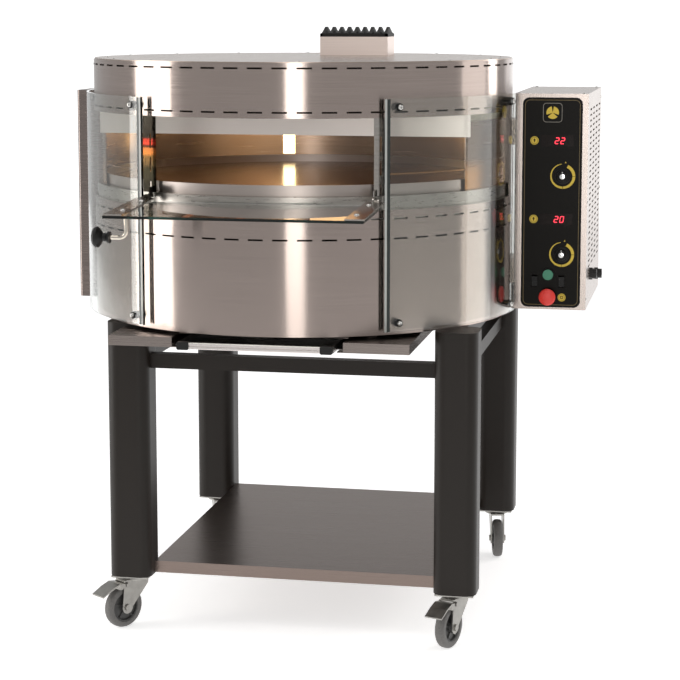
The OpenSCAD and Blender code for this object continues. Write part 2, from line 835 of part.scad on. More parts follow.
module heating_elements() {
  top = ceiling_z - 17;
  low = hearth_z + plate_t + 12;
  loop_sweep = 330;
  front_sweep = 250;
  color([0.45, 0.2, 0.12]) on_axis() {
    heating_loop(inner_loop_r, top, ceiling_z, loop_sweep);
    heating_loop(outer_loop_r, top, ceiling_z, front_sweep);
    heating_loop(inner_loop_r, low, hearth_z + plate_t, loop_sweep);
    heating_loop(outer_loop_r, low, hearth_z + plate_t, loop_sweep);
  }
}

// Upright lamp glass on the chamber's back wall.
module chamber_lamp() {
  lamp_a = 197;
  lamp_sweep = 3.6;
  lamp_t = 6;
  lamp_low = 3;
  lamp_h = 84;
  color([1, 0.85, 0.5]) on_axis(deck_top + lamp_low)
    arc_wall(wall_r - lamp_t, wall_r, lamp_h, lamp_a - lamp_sweep / 2, lamp_a + lamp_sweep / 2);
}

// Mouth posts, with the hinge pins of the flap

// Right post: a slotted face, a hinge lug over the ledge and the pin with its head.
module post() {
  base = ledge_z;
  top = soffit_z;
  foot_y = -sqrt(pow(hearth_r - 6, 2) - pow(post_x, 2)) + post_t;
  slot_z = [for (i = [0 : 2]) deck_top - 17 + i * post_slot_step];
  lug_x = post_x + 4;
  lug_t = 3;
  lug_half = 11;
  web_h = 14;
  pin_l = 11;
  difference() {
    translate([post_x, foot_y, 0]) rotate([0, 0, post_turn])
      block([0, 0, base], [post_w, post_t, top]);
    for (z = slot_z)
      translate([post_x, foot_y, z]) rotate([0, 0, post_turn]) {
        translate([post_w * 0.42, post_t / 2, 0]) rotate([90, 0, 0])
          linear_extrude(4 * post_t, center = true) {
            square([post_slot_w, post_slot_l - post_slot_w], center = true);
            for (s = [-1, 1])
              translate([0, s * (post_slot_l - post_slot_w) / 2]) circle(post_slot_w / 2);
          }
      }
  }
  translate([lug_x, 0, 0]) rotate([90, 0, 90]) linear_extrude(lug_t) {
    translate([-hinge_y, hinge_z]) circle(lug_half);
    translate([-hinge_y, hinge_z])
      square([norm([lug_x + lug_t, hinge_y]) - hearth_r, ledge_z + web_h - hinge_z]);
    translate([-hinge_y, ledge_z + part_gap])
      square([hinge_y + foot_y + post_t, web_h - part_gap]);
  }
  translate([lug_x, -hinge_y, hinge_z]) rotate([0, 90, 0])
    cylinder(r = hinge_pin_r, h = lug_t + pin_l);
  translate([lug_x + lug_t + pin_l - 3, -hinge_y, hinge_z]) rotate([0, 90, 0])
    cylinder(r = hinge_pin_r + 3, h = 3);
}

module right_post() color([0.62, 0.6, 0.56]) on_axis() post();
module left_post() color([0.62, 0.6, 0.56]) on_axis() mirror([1, 0, 0]) post();

// Curved glasses and their screws

screw_as = [
  glass_near_angle + screw_in / glass_r * 180 / PI,
  glass_far_angle - screw_in / glass_r * 180 / PI
];
screw_zs = [glass_z + screw_edge, glass_z + glass_h - screw_edge];

// Holes for the screws through the shells and the glasses.
module glass_screw_holes(grow)
  for (side = [-1, 1], a = screw_as, z = screw_zs)
    at_angle(side * a, drum_r - 10, z) rotate([90, 0, 0])
      cylinder(r = screw_r + grow, h = 20 + glass_gap + glass_t);

module curved_glass() {
  difference() {
    translate([0, 0, glass_z])
      arc_wall(glass_r, glass_r + glass_t, glass_h, glass_near_angle, glass_far_angle);
    glass_screw_holes(0.5);
  }
}

module right_glass() color([0.75, 0.85, 0.82, 0.35]) on_axis() curved_glass();
module left_glass() color([0.75, 0.85, 0.82, 0.35]) on_axis() mirror([1, 0, 0]) curved_glass();

module glass_screws() {
  bush_r = 9;
  head_r = 8;
  head_h = 5;
  nut_l = 7;
  color([0.15, 0.15, 0.15]) on_axis()
    for (side = [-1, 1], a = screw_as, z = screw_zs)
      at_angle(side * a, drum_r, z) rotate([90, 0, 0]) {
        translate([0, 0, -nut_l]) cylinder(r = screw_r, h = nut_l + glass_gap + glass_t + 1);
        translate([0, 0, -nut_l]) cylinder(r = bush_r - 2, h = nut_l - shell_t - 0.2, $fn = 6);
        cylinder(r = bush_r, h = glass_gap - 0.1);
        translate([0, 0, glass_gap + glass_t + 0.1]) cylinder(r = head_r, h = head_h);
      }
}

// Side box and control box

module left_side_box() {
  t = 2;
  edge_r = 8;
  module outline(grow) {
    difference() {
      union() {
        translate([-side_reach + grow + edge_r, grow])
          square([side_reach, side_d - 2 * grow]);
        translate([-side_reach + grow, grow + edge_r])
          square([side_reach, side_d - 2 * grow - edge_r]);
        translate([-side_reach + grow + edge_r, grow + edge_r]) circle(edge_r);
      }
      circle(r = drum_r, $fn = facets);
      translate([-drum_r + side_d, -drum_r]) square([3 * drum_r, 3 * drum_r]);
    }
  }
  color([0.62, 0.6, 0.57]) on_axis(box_z) difference() {
    linear_extrude(box_h) outline(0);
    translate([0, 0, t]) linear_extrude(box_h - 2 * t) outline(t);
  }
}

// Holes through the control box's front for dials, buttons and rockers.
module control_holes(depth, grow) {
  for (z = dial_zs)
    translate([dial_x, 0, z]) rotate([90, 0, 0])
      cylinder(r = dial_shaft_r + run_gap + grow, h = depth, center = true);
  translate([button_x, 0, button_z]) rotate([90, 0, 0])
    cylinder(r = button_r + 0.3 + grow, h = depth, center = true);
  translate([button_x, 0, mushroom_z]) rotate([90, 0, 0])
    cylinder(r = 11.3 + grow, h = depth, center = true);
  for (x = rocker_xs)
    translate([x - rocker_w / 2 - 0.4 - grow, -depth / 2, rocker_z - rocker_r - 0.4 - grow])
      cube([rocker_w + 0.8 + 2 * grow, depth, 2 * (rocker_r + 0.4 + grow)]);
}

// Folded body: front, left side, back and bottom, with saddles to the drum.
module control_box() {
  t = box_t;
  color([0.66, 0.62, 0.58]) on_axis() {
    difference() {
      block([box_left, 0, box_z], [box_right - t, box_d, box_z + box_h - t]);
      block([box_left + t, t, box_z + t], [box_right, box_d - t, box_z + box_h]);
      control_holes(4 * t, 2);
    }
    for (z = [box_z + 60, lower_top + 120])
      difference() {
        block([drum_r - 30, 20, z], [box_left + t / 2, 120, z + 60]);
        translate([0, 0, z - 1]) cylinder(r = drum_r, h = 62, $fn = facets);
      }
  }
}

// Lid and right side in one folded sheet, with rows of vent slots.
module control_box_cover() {
  t = box_t;
  vent_l = 56;
  vent_h = 4.5;
  vent_pitch = (box_d - 60) / vent_cols;
  first_z = box_z + 97;
  color([0.7, 0.66, 0.62]) on_axis() difference() {
    union() {
      block([box_left, 0, box_z + box_h - t], [box_right, box_d, box_z + box_h]);
      block([box_right - t, 0, box_z], [box_right, box_d, box_z + box_h]);
    }
    for (row = [0 : vent_rows - 1], col = [0 : vent_cols - 1])
      translate([box_right - t / 2, 45 + (col + 0.5) * vent_pitch, first_z + row * vent_step])
        cube([4 * t, vent_l, vent_h], center = true);
  }
}

module control_fascia() {
  bezel = 2;
  sleeve_w = rocker_w + 2 * (0.4 + rocker_wall);
  color([0.1, 0.09, 0.08]) on_axis() difference() {
    union() {
      translate([fascia_left, 0, fascia_z]) rotate([90, 0, 0])
        linear_extrude(fascia_t) round_rect(fascia_w, fascia_h, 16);
      translate([button_x, -fascia_t + 0.5, button_z]) rotate([90, 0, 0])
        cylinder(r = button_r + 3, h = 4);
      translate([button_x, -fascia_t + 0.5, mushroom_z]) rotate([90, 0, 0])
        cylinder(r = 14.5, h = 6);
      for (x = rocker_xs)
        translate([x - rocker_w / 2 - 2.2, -fascia_t - bezel, rocker_z - rocker_r - 2.2])
          cube([rocker_w + 4.4, bezel + 0.5, 2 * rocker_r + 4.4]);
      for (x = rocker_xs)
        translate([x, 0, rocker_z]) rotate([-90, 0, 0])
          linear_extrude(2 * rocker_pivot)
            square([sleeve_w, 2 * (rocker_r + 0.4 + rocker_wall)], center = true);
    }
    control_holes(60, 0);
  }
  color([0.1, 0.09, 0.08]) on_axis()
    for (x = rocker_xs)
      translate([x, rocker_pivot, rocker_z]) rotate([0, 90, 0])
        cylinder(r = rocker_pin_r, h = sleeve_w, center = true);
}

module displays() {
  color([0.2, 0.02, 0.02]) on_axis()
    for (z = display_zs)
      block([display_x - display_w / 2, -fascia_t - 1, z - display_h / 2],
        [display_x + display_w / 2, -fascia_t, z + display_h / 2]);
}

// Two cable glands on the box's right side: hexagon, collar and a cable bore.
gland_ys = [130, 330];
gland_zs = [box_z + 73, box_z + 48];
gland_bore = 6;

module cable_glands() {
  color([0.08, 0.08, 0.08]) on_axis()
    for (i = [0, 1])
      translate([box_right, gland_ys[i], gland_zs[i]]) rotate([0, 90, 0])
        difference() {
          union() {
            cylinder(r = 15, h = 7, $fn = 6);
            cylinder(r = 12, h = gland_out);
          }
          translate([0, 0, -1]) cylinder(r = gland_bore, h = gland_out + 2);
        }
}

module dial(z) {
  color([0.1, 0.1, 0.1]) on_axis()
    translate([dial_x, -fascia_t - part_gap, z]) rotate([90, 0, 0]) {
      cylinder(r = dial_r, h = 3);
      cylinder(r1 = dial_r - 3, r2 = dial_r - 4.5, h = dial_l);
      translate([0, 0, -14]) cylinder(r = dial_shaft_r, h = 15);
    }
}

module upper_dial() dial(dial_zs[1]);
module lower_dial() dial(dial_zs[0]);

module start_button() {
  color([0.25, 0.6, 0.4]) on_axis()
    translate([button_x, 12, button_z]) rotate([90, 0, 0])
      cylinder(r = button_r, h = 12 + fascia_t + 7);
}

module emergency_button() {
  stem_r = 11;
  head_y = fascia_t + 15;
  color([0.85, 0.15, 0.12]) on_axis()
    translate([button_x, 12, mushroom_z]) rotate([90, 0, 0]) {
      cylinder(r = stem_r, h = 12 + head_y + 1);
      translate([0, 0, 12 + head_y]) rotate_extrude($fn = 64) polygon([
        [0, 0], [mushroom_r - 2, 0], [mushroom_r, 3], [mushroom_r, 7],
        [mushroom_r - 3, 10], [mushroom_r - 10, 12], [0, 12.5]
      ]);
    }
}

// Rocker with a hollowed face, tipped to one side about its pivot.
module rocker(x) {
  h = 12.4;
  color([0.08, 0.08, 0.08]) on_axis()
    translate([x, rocker_pivot, rocker_z]) rotate([rocker_tilt, 0, 0])
      translate([-rocker_w / 2, 0, 0]) rotate([90, 0, 90]) linear_extrude(rocker_w)
        difference() {
          polygon([[-7.2, -h], [-5, 0], [-7.2, h], [7, h], [7, -h]]);
          circle(rocker_pin_r + run_gap);
        }
}

module left_rocker() rocker(rocker_xs[0]);
module right_rocker() rocker(rocker_xs[1]);

// Deck drive

module gearmotor() {
  half = gearbox_w / 2;
  color([0.35, 0.38, 0.42]) on_axis() translate([0, gear_reach, floor_z])
    difference() {
      union() {
        block([-half, -half, 0], [half, half, gearbox_h]);
        translate([0, half - 1, gearbox_h / 2 + 2]) rotate([-90, 0, 0])
          cylinder(r = motor_r, h = motor_l);
        cylinder(r = motor_shaft_r + 12, h = gearbox_h + 6);
      }
      translate([0, 0, 20]) cylinder(r = motor_shaft_r + run_gap, h = gearbox_h);
    }
}

module deck_bearing() {
  color([0.5, 0.5, 0.52]) on_axis(bearing_z) difference() {
    union() {
      cylinder(r = shaft_r + 45, h = 10);
      cylinder(r = shaft_r + 28, h = bearing_h);
    }
    translate([0, 0, 4]) cylinder(r = shaft_r + run_gap, h = bearing_h);
  }
}

// Spin angle at which an involute reaches a radius.
function involute(base, r) =
  let (t = sqrt(max(0, pow(r / base, 2) - 1))) t * 180 / PI - atan(t);

function polar(r, a) = [r * cos(a), r * sin(a)];

// Gear outline with involute flanks and a little play at the pitch line.
module gear_outline(teeth) {
  pitch_r = gear_m * teeth / 2;
  base = pitch_r * cos(20);
  tip = pitch_r + gear_m;
  root = pitch_r - 1.25 * gear_m;
  play = 0.35;
  half = 90 / teeth - play / pitch_r * 180 / PI / 2 + involute(base, pitch_r);
  first = max(root, base);
  steps = 4;
  flank = [for (i = [0 : steps]) let (r = first + (tip - first) * i / steps)
    [r, half - involute(base, r)]];
  polygon([for (k = [0 : teeth - 1]) let (mid = k * 360 / teeth)
    each concat(
      [polar(root, mid - half)],
      [for (i = [0 : steps]) polar(flank[i][0], mid - flank[i][1])],
      [for (i = [steps : -1 : 0]) polar(flank[i][0], mid + flank[i][1])],
      [polar(root, mid + half)]
    )]);
}

module deck_gear() {
  web_r = gear_m * gear_z / 2 * 0.62;
  color([0.55, 0.52, 0.45]) on_axis(gear_z0) difference() {
    union() {
      linear_extrude(gear_t) gear_outline(gear_z);
      translate([0, 0, -8]) cylinder(r = shaft_r + 18, h = gear_t + 16);
    }
    translate([0, 0, -9]) cylinder(r = shaft_r + 0.02, h = gear_t + 18);
    for (i = [0 : 5]) rotate([0, 0, i * 60]) translate([web_r, 0, -1])
      cylinder(r = web_r * 0.28, h = gear_t + 2);
  }
}

module motor_pinion() {
  shaft_low = floor_z + 22 - gear_z0;
  color([0.6, 0.58, 0.5]) on_axis(gear_z0) translate([0, gear_reach, 0]) {
    translate([0, 0, -2]) linear_extrude(gear_t + 4)
      rotate([0, 0, 180 / pinion_z]) gear_outline(pinion_z);
    translate([0, 0, shaft_low]) cylinder(r = motor_shaft_r, h = gear_t + 6 - shaft_low);
  }
}

// Deck shaft with a collar on the bearing and a flange under the deck.
module deck_shaft() {
  low = bearing_z + 4.5;
  top_flange = 6;
  collar_z = bearing_z + bearing_h + 0.3;
  color([0.6, 0.6, 0.62]) on_axis() {
    translate([0, 0, low]) cylinder(r = shaft_r, h = deck_z - low);
    translate([0, 0, collar_z]) cylinder(r = shaft_r + 12, h = 10);
    translate([0, 0, deck_z - top_flange]) cylinder(r = shaft_r + 35, h = top_flange);
  }
}

module deck_pan() {
  hub = shaft_r + 37;
  color([0.68, 0.67, 0.65]) on_axis() {
    rotate_extrude($fn = facets) polygon([
      [0, deck_z], [deck_r, deck_z], [deck_r, deck_top], [deck_r - pan_t, deck_top],
      [deck_r - pan_t, deck_z + pan_t], [0, deck_z + pan_t]
    ]);
    for (i = [0 : rib_n - 1]) rotate([0, 0, i * 360 / rib_n])
      block([hub, -2, deck_z - rib_h], [deck_r - 12, 2, deck_z]);
  }
}

// Three stone slabs, parted by two straight joints.
module deck_stone() {
  gap = stone_gap / 2;
  color([0.42, 0.35, 0.3]) on_axis(deck_z + pan_t) difference() {
    cylinder(r = deck_r - pan_t - 1, h = stone_t, $fn = facets);
    for (side = [-1, 1]) rotate([0, 0, stone_turn])
      block([-deck_r, side * stone_joint - gap, -1],
        [deck_r, side * stone_joint + gap, stone_t + 1]);
  }
}

// Flap, drawn flat with its hinge axis along X at the origin, then sloped

module on_hinge() {
  on_axis() translate([0, -hinge_y, hinge_z]) rotate([flap_slope, 0, 0]) children();
}

glass_low_n = glass_top_n - glass_t;
arm_ear_x = post_x + 10;
arm_back = 14;

module flap_glass() {
  color([0.7, 0.85, 0.8, 0.35]) on_hinge()
    block([-flap_x, -flap_l, glass_low_n], [flap_x, -flap_back, glass_top_n]);
}

// Side strips on the glass, each with a round hinge ear.
module flap_arms() {
  ear_r = 9;
  top_n = glass_top_n + arm_t;
  color([0.68, 0.66, 0.63]) on_hinge()
    for (side = [-1, 1]) mirror([side < 0 ? 1 : 0, 0, 0]) {
      block([flap_x - arm_w, -flap_l + 3, glass_top_n], [flap_x, -arm_back, top_n]);
      translate([arm_ear_x, 0, 0]) rotate([90, 0, 90]) linear_extrude(arm_t)
        difference() {
          union() {
            circle(ear_r);
            translate([-50, glass_top_n]) square([50, ear_r - glass_top_n]);
          }
          circle(hinge_pin_r + run_gap);
        }
    }
}

handle_x = flap_x - 33;
handle_f = flap_l - 62;
handle_bend = 14;
handle_n = glass_low_n - handle_drop;
knob_x = handle_x + 37;

// Bent rod: down from the left strip, round a bend and out to the left.
module handle_rod() {
  color([0.75, 0.72, 0.66]) on_hinge() translate([-handle_x, -handle_f, 0]) {
    translate([0, 0, handle_n + handle_bend])
      cylinder(r = handle_r, h = glass_low_n - handle_n - handle_bend);
    translate([-handle_bend, 0, handle_n + handle_bend]) rotate([90, 0, 0])
      rotate([0, 0, -90]) rotate_extrude(angle = 90)
        translate([handle_bend, 0]) circle(handle_r);
    translate([-handle_bend, 0, handle_n]) rotate([0, -90, 0])
      cylinder(r = handle_r, h = knob_x - handle_x - handle_bend);
    translate([0, 0, glass_low_n - 3]) cylinder(r = handle_r + 5, h = 3);
  }
}

module handle_knob() {
  color([0.08, 0.08, 0.08]) on_hinge()
    translate([-knob_x, -handle_f, handle_n]) rotate([0, -90, 0])
      rotate_extrude($fn = 64) polygon([
        [0, 0], [13, 0], [13, 4], [9, 8], [9, 16], [knob_r - 5, knob_l - 19],
        [knob_r, knob_l - 14], [knob_r, knob_l - 9], [knob_r - 4, knob_l - 4],
        [knob_r - 12, knob_l - 1], [0, knob_l]
      ]);
}

stand_legs();
stand_frame();
lower_shelf();
caster_plates();
base_tray();
chassis_floor();
lower_shell();
hearth_pan();
rear_skin();
upper_band();
top_cover();
flue_box();
flue_grille();
chamber_wall();
chamber_ceiling();
front_plate();
insulation();
heating_elements();
chamber_lamp();
left_post();
right_post();
left_glass();
right_glass();
glass_screws();
left_side_box();
control_box();
control_box_cover();
control_fascia();
displays();
cable_glands();
gearmotor();
deck_bearing();
deck_pan();
deck_stone();
deck_shaft();
deck_gear();
motor_pinion();
flap_glass();
flap_arms();
handle_rod();
handle_knob();
drawer_tray();
drawer_handle();
handle_end_caps();
upper_dial();
lower_dial();
start_button();
emergency_button();
left_rocker();
right_rocker();
fork_front_left();
fork_front_right();
fork_rear_left();
fork_rear_right();
wheel_front_left();
wheel_front_right();
wheel_rear_left();
wheel_rear_right();
pedal_front_left();
pedal_front_right();
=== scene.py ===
import json
import math

import bmesh
import bpy
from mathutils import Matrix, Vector


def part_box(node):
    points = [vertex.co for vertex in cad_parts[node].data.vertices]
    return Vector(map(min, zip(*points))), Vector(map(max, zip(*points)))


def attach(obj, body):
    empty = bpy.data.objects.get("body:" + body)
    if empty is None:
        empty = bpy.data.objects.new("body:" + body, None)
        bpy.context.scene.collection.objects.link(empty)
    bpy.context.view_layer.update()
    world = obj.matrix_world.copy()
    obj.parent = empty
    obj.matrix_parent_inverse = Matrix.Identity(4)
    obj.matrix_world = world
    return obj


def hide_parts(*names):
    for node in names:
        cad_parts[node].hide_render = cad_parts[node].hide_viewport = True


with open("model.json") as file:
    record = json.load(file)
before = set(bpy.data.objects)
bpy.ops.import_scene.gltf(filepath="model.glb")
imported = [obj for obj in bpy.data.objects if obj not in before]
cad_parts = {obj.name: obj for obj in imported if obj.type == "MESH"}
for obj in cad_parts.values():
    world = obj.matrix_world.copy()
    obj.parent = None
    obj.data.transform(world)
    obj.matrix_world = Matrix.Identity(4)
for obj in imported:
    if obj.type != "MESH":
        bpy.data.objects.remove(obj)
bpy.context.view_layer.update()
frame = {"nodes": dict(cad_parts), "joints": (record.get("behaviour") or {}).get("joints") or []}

# Camera, standing a little right of the mouth at eye height and looking down a
# little. Places on the oven are given in millimetres from the middle of the
# round body, with heights from the floor.
shell_low, shell_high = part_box("lower_shell")
middle = (shell_low + shell_high) / 2


def spot(x, y, z):
    return Vector((middle.x + x / 1000, middle.y + y / 1000, z / 1000))


LOOKS_DOWN, LOOKS_LEFT = 7.49, 11.26
lens = bpy.data.cameras.new("photo_camera")
lens.sensor_width = 36
lens.lens = 103.8
lens.shift_y = -0.103
camera = bpy.data.objects.new("photo_camera", lens)
bpy.context.collection.objects.link(camera)
camera.location = spot(1027, -4706, 1456)
camera.rotation_euler = (math.radians(90 - LOOKS_DOWN), 0, math.radians(LOOKS_LEFT))
bpy.context.scene.camera = camera

# Studio: a pale floor, painted lighter and given a glow of its own round and
# behind the oven as painted light, grey surroundings that turn white straight
# behind it, and tall strip lights, whose reflections make the upright bands on
# the steel.
FLOOR_HALF = 9
floor_mesh = bpy.data.meshes.new("studio_floor")
floor_mesh.from_pydata(
    [(x * FLOOR_HALF, y * FLOOR_HALF, 0) for x, y in ((-1, -1), (1, -1), (1, 1), (-1, 1))],
    [],
    [(0, 1, 2, 3)],
)
floor = bpy.data.objects.new("studio_floor", floor_mesh)
bpy.context.collection.objects.link(floor)
floor_paint = bpy.data.materials.new("floor_paint")
floor_paint.use_nodes = True
floor_shader = floor_paint.node_tree.nodes["Principled BSDF"]
floor_shader.inputs["Roughness"].default_value = 0.7
floor_shader.inputs["Specular IOR Level"].default_value = 0.1
floor_mesh.materials.append(floor_paint)
bpy.context.scene.view_settings.view_transform = "Standard"


def feed(tree, socket, value):
    """Links value to the socket, or sets the socket where value is fixed."""
    if isinstance(value, bpy.types.NodeSocket):
        tree.links.new(value, socket)
    else:
        socket.default_value = value


def fade(tree, source, start, end, low, high, kind="SMOOTHSTEP"):
    """A step from low, where source is at start, to high, where it is at end."""
    step = tree.nodes.new("ShaderNodeMapRange")
    step.interpolation_type = kind
    step.inputs["From Min"].default_value = start
    step.inputs["From Max"].default_value = end
    step.inputs["To Min"].default_value = low
    step.inputs["To Max"].default_value = high
    tree.links.new(source, step.inputs["Value"])
    return step.outputs["Result"]


def maths(tree, operation, one, other=None):
    """One step of arithmetic between sockets or fixed numbers."""
    step = tree.nodes.new("ShaderNodeMath")
    step.operation = operation
    feed(tree, step.inputs[0], one)
    if other is not None:
        feed(tree, step.inputs[1], other)
    return step.outputs["Value"]


def vectors(tree, operation, one, other=None):
    """One step of vector arithmetic between sockets or fixed vectors."""
    step = tree.nodes.new("ShaderNodeVectorMath")
    step.operation = operation
    feed(tree, step.inputs[0], one)
    if other is not None:
        feed(tree, step.inputs[1], other)
    single = operation in ("DISTANCE", "DOT_PRODUCT")
    return step.outputs["Value" if single else "Vector"]


def on_surface(tree, output):
    """A texture coordinate, by the name of its output."""
    return tree.nodes.new("ShaderNodeTexCoord").outputs[output]


def axes(tree, output):
    """The x, y and z of a texture coordinate, each as a socket."""
    split = tree.nodes.new("ShaderNodeSeparateXYZ")
    tree.links.new(on_surface(tree, output), split.inputs["Vector"])
    return split.outputs


# The floor's painted light, a lighter colour and a glow of its own, fades out
# at these distances from its middle, in metres.
tree = floor_paint.node_tree
x, y, _ = axes(tree, "Object")
across = maths(tree, "MULTIPLY", fade(tree, x, -7, -4.5, 0, 1), fade(tree, x, 3.5, 6, 1, 0))
lit = maths(tree, "MULTIPLY", across, fade(tree, y, -3.2, -1.1, 0, 1))
tree.links.new(fade(tree, lit, 0, 1, 0.55, 0.95), floor_shader.inputs["Base Color"])
floor_shader.inputs["Emission Color"].default_value = (1, 1, 1, 1)
tree.links.new(fade(tree, lit, 0, 1, 0.2, 0.55), floor_shader.inputs["Emission Strength"])

# The surroundings go by direction: y is 1 straight behind the oven, and z is 1
# straight up.
world = bpy.data.worlds.new("studio_white")
bpy.context.scene.world = world
world.use_nodes = True
tree = world.node_tree
_, y, z = axes(tree, "Generated")
behind = maths(tree, "MULTIPLY", fade(tree, y, 0.86, 0.95, 0, 1), fade(tree, z, 0.05, 0.14, 1, 0))
tree.links.new(fade(tree, behind, 0, 1, 0.54, 1.25), tree.nodes["Background"].inputs["Color"])


def strip_light(name, angle, distance, centre_z, width, height, watts):
    """An upright light facing the oven: angle runs from the front to the right."""
    lamp = bpy.data.lights.new(name, "AREA")
    lamp.shape = "RECTANGLE"
    lamp.size, lamp.size_y = width, height
    lamp.energy = watts
    lamp.color = (1, 0.98, 0.95)
    stand = bpy.data.objects.new(name, lamp)
    bpy.context.collection.objects.link(stand)
    a = math.radians(angle)
    stand.location = spot(distance * math.sin(a), -distance * math.cos(a), centre_z)
    stand.rotation_euler = (math.radians(90), 0, a)
    stand.visible_camera = False
    return stand


strip_light("strip_front", angle=8.0, distance=6000, centre_z=1560,
            width=0.92, height=3.3, watts=42)
strip_light("strip_left", angle=-70.2, distance=3370, centre_z=1500,
            width=1.55, height=3.1, watts=58)
strip_light("strip_right", angle=110.1, distance=3310, centre_z=1500,
            width=1.2, height=3.1, watts=14)
strip_light("strip_high", angle=127.9, distance=3250, centre_z=1950,
            width=0.5, height=1.6, watts=16)
overhead = strip_light("strip_above", angle=0, distance=1500, centre_z=4200,
                       width=3.0, height=1.5, watts=30)
overhead.rotation_euler = (0.3, 0, 0)

# Stand: four square tubes with round corners and the welded beams between
# them, powder coated in one very dark brown with a fine orange peel.


def new_finish(name, tint, rough, metal=0.0, shine=0.5):
    finish = bpy.data.materials.new(name)
    finish.use_nodes = True
    shader = finish.node_tree.nodes["Principled BSDF"]
    shader.inputs["Base Color"].default_value = (*tint, 1)
    shader.inputs["Roughness"].default_value = rough
    shader.inputs["Metallic"].default_value = metal
    shader.inputs["Specular IOR Level"].default_value = shine
    return finish, finish.node_tree, shader


def colour_ramp(tree, source, stops, kind="LINEAR"):
    """A colour that runs through the stops: (place, tint), in rising order."""
    ramp = tree.nodes.new("ShaderNodeValToRGB")
    ramp.color_ramp.interpolation = kind
    marks = ramp.color_ramp.elements
    marks[0].position, marks[1].position = stops[0][0], stops[-1][0]
    for share, _ in stops[1:-1]:
        marks.new(share)
    for mark, (_, tint) in zip(marks, stops):
        mark.color = (*tint, 1)
    tree.links.new(source, ramp.inputs["Fac"])
    return ramp.outputs["Color"]


def grained(name, tint, rough, grain, detail=2, spread=0.1, rough_spread=0.05, relief=0.05,
            metal=0.0, shine=0.5):
    """A finish with streaks or specks in colour, gloss and relief, fixed to the
    oven. The grain is in waves per metre along x, y and z, or one for all."""
    finish, tree, shader = new_finish(name, tint, rough, metal, shine)
    scale = tree.nodes.new("ShaderNodeMapping")
    scale.inputs["Scale"].default_value = grain if isinstance(grain, tuple) else (grain,) * 3
    noise = tree.nodes.new("ShaderNodeTexNoise")
    noise.inputs["Scale"].default_value = 1.0
    noise.inputs["Detail"].default_value = detail
    tree.links.new(on_surface(tree, "Object"), scale.inputs["Vector"])
    tree.links.new(scale.outputs["Vector"], noise.inputs["Vector"])
    wave = noise.outputs["Fac"]
    trough, crest = 0.25, 0.75
    tree.links.new(
        colour_ramp(tree, wave, ((trough, [c * (1 - spread) for c in tint]),
                                 (crest, [c * (1 + spread) for c in tint]))),
        shader.inputs["Base Color"],
    )
    tree.links.new(
        fade(tree, wave, trough, crest, rough - rough_spread, rough + rough_spread, "LINEAR"),
        shader.inputs["Roughness"],
    )
    bump = tree.nodes.new("ShaderNodeBump")
    bump.inputs["Strength"].default_value = relief
    bump.inputs["Distance"].default_value = 0.0005
    tree.links.new(wave, bump.inputs["Height"])
    tree.links.new(bump.outputs["Normal"], shader.inputs["Normal"])
    return finish


def dress(finish, *nodes):
    """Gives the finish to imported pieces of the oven."""
    for name in nodes:
        thing = frame["nodes"][name]
        thing.data.materials.clear()
        thing.data.materials.append(finish)


powder_coat = grained("powder_coat", (0.0125, 0.0092, 0.0070), rough=0.42, grain=700,
                      spread=0.12, rough_spread=0.06, relief=0.25, shine=0.25)
dress(powder_coat, "stand_legs", "stand_frame")

# Lower shelf: one folded sheet of brushed steel laid between the legs, a
# little duller than the body, with its grain running from left to right.


def brushed(name, tint, rough, grain, spread=0.05, relief=0.06, stretch=0.0):
    """Bare metal; stretch draws its highlights out along the rolled drum."""
    finish = grained(name, tint, rough, grain, detail=3, spread=spread, relief=relief, metal=1.0)
    if stretch:
        tree = finish.node_tree
        shader = tree.nodes["Principled BSDF"]
        shader.inputs["Anisotropic"].default_value = stretch
        shader.inputs["Anisotropic Rotation"].default_value = 0.25
        round_tangent = tree.nodes.new("ShaderNodeTangent")
        round_tangent.direction_type = "RADIAL"
        round_tangent.axis = "Z"
        tree.links.new(round_tangent.outputs["Tangent"], shader.inputs["Tangent"])
    return finish


shelf_steel = brushed("shelf_steel", (0.205, 0.162, 0.143), rough=0.3, grain=(4, 500, 500))
dress(shelf_steel, "lower_shelf")

# Casters: zinc-plated top plates, forks and brake pedals, pressed from sheet
# and riveted. The plating is a little cloudy.
zinc = brushed("zinc_plating", (0.34, 0.33, 0.31), rough=0.34, grain=60, spread=0.14,
               relief=0.05)
CORNERS = ("front_left", "front_right", "rear_left", "rear_right")
dress(zinc, "caster_plates", "pedal_front_left", "pedal_front_right")
dress(zinc, *["fork_" + corner for corner in CORNERS])

# Wheels: a grey rubber tyre on a dark plastic hub with a raised boss, a dished
# web with ribs, and a bore for the axle.
WHEEL_STEPS = 72
HUB_RIBS, RIB_TURN, RIB_HALF_LENGTH = 5, 0.3, 9.5
RIB_ENDS = ((13, 2.2), (31, 1.6))
SHARP_ANGLE = 0.6
TREAD = [(35, -10.5), (36.5, -12), (43, -12), (46, -11), (48.4, -8.5), (49.6, -5),
         (50, 0), (49.6, 5), (48.4, 8.5), (46, 11), (43, 12), (36.5, 12),
         (35, 10.5), (35, -10.5)]
WEB = [(4.1, -14.5), (9, -14.5), (12.5, -13), (14, -7), (30, -6), (32, -10.4),
       (35, -10.4), (35, 10.4), (32, 10.4), (30, 6), (14, 7), (12.5, 13),
       (9, 14.5), (4.1, 14.5), (4.1, -14.5)]


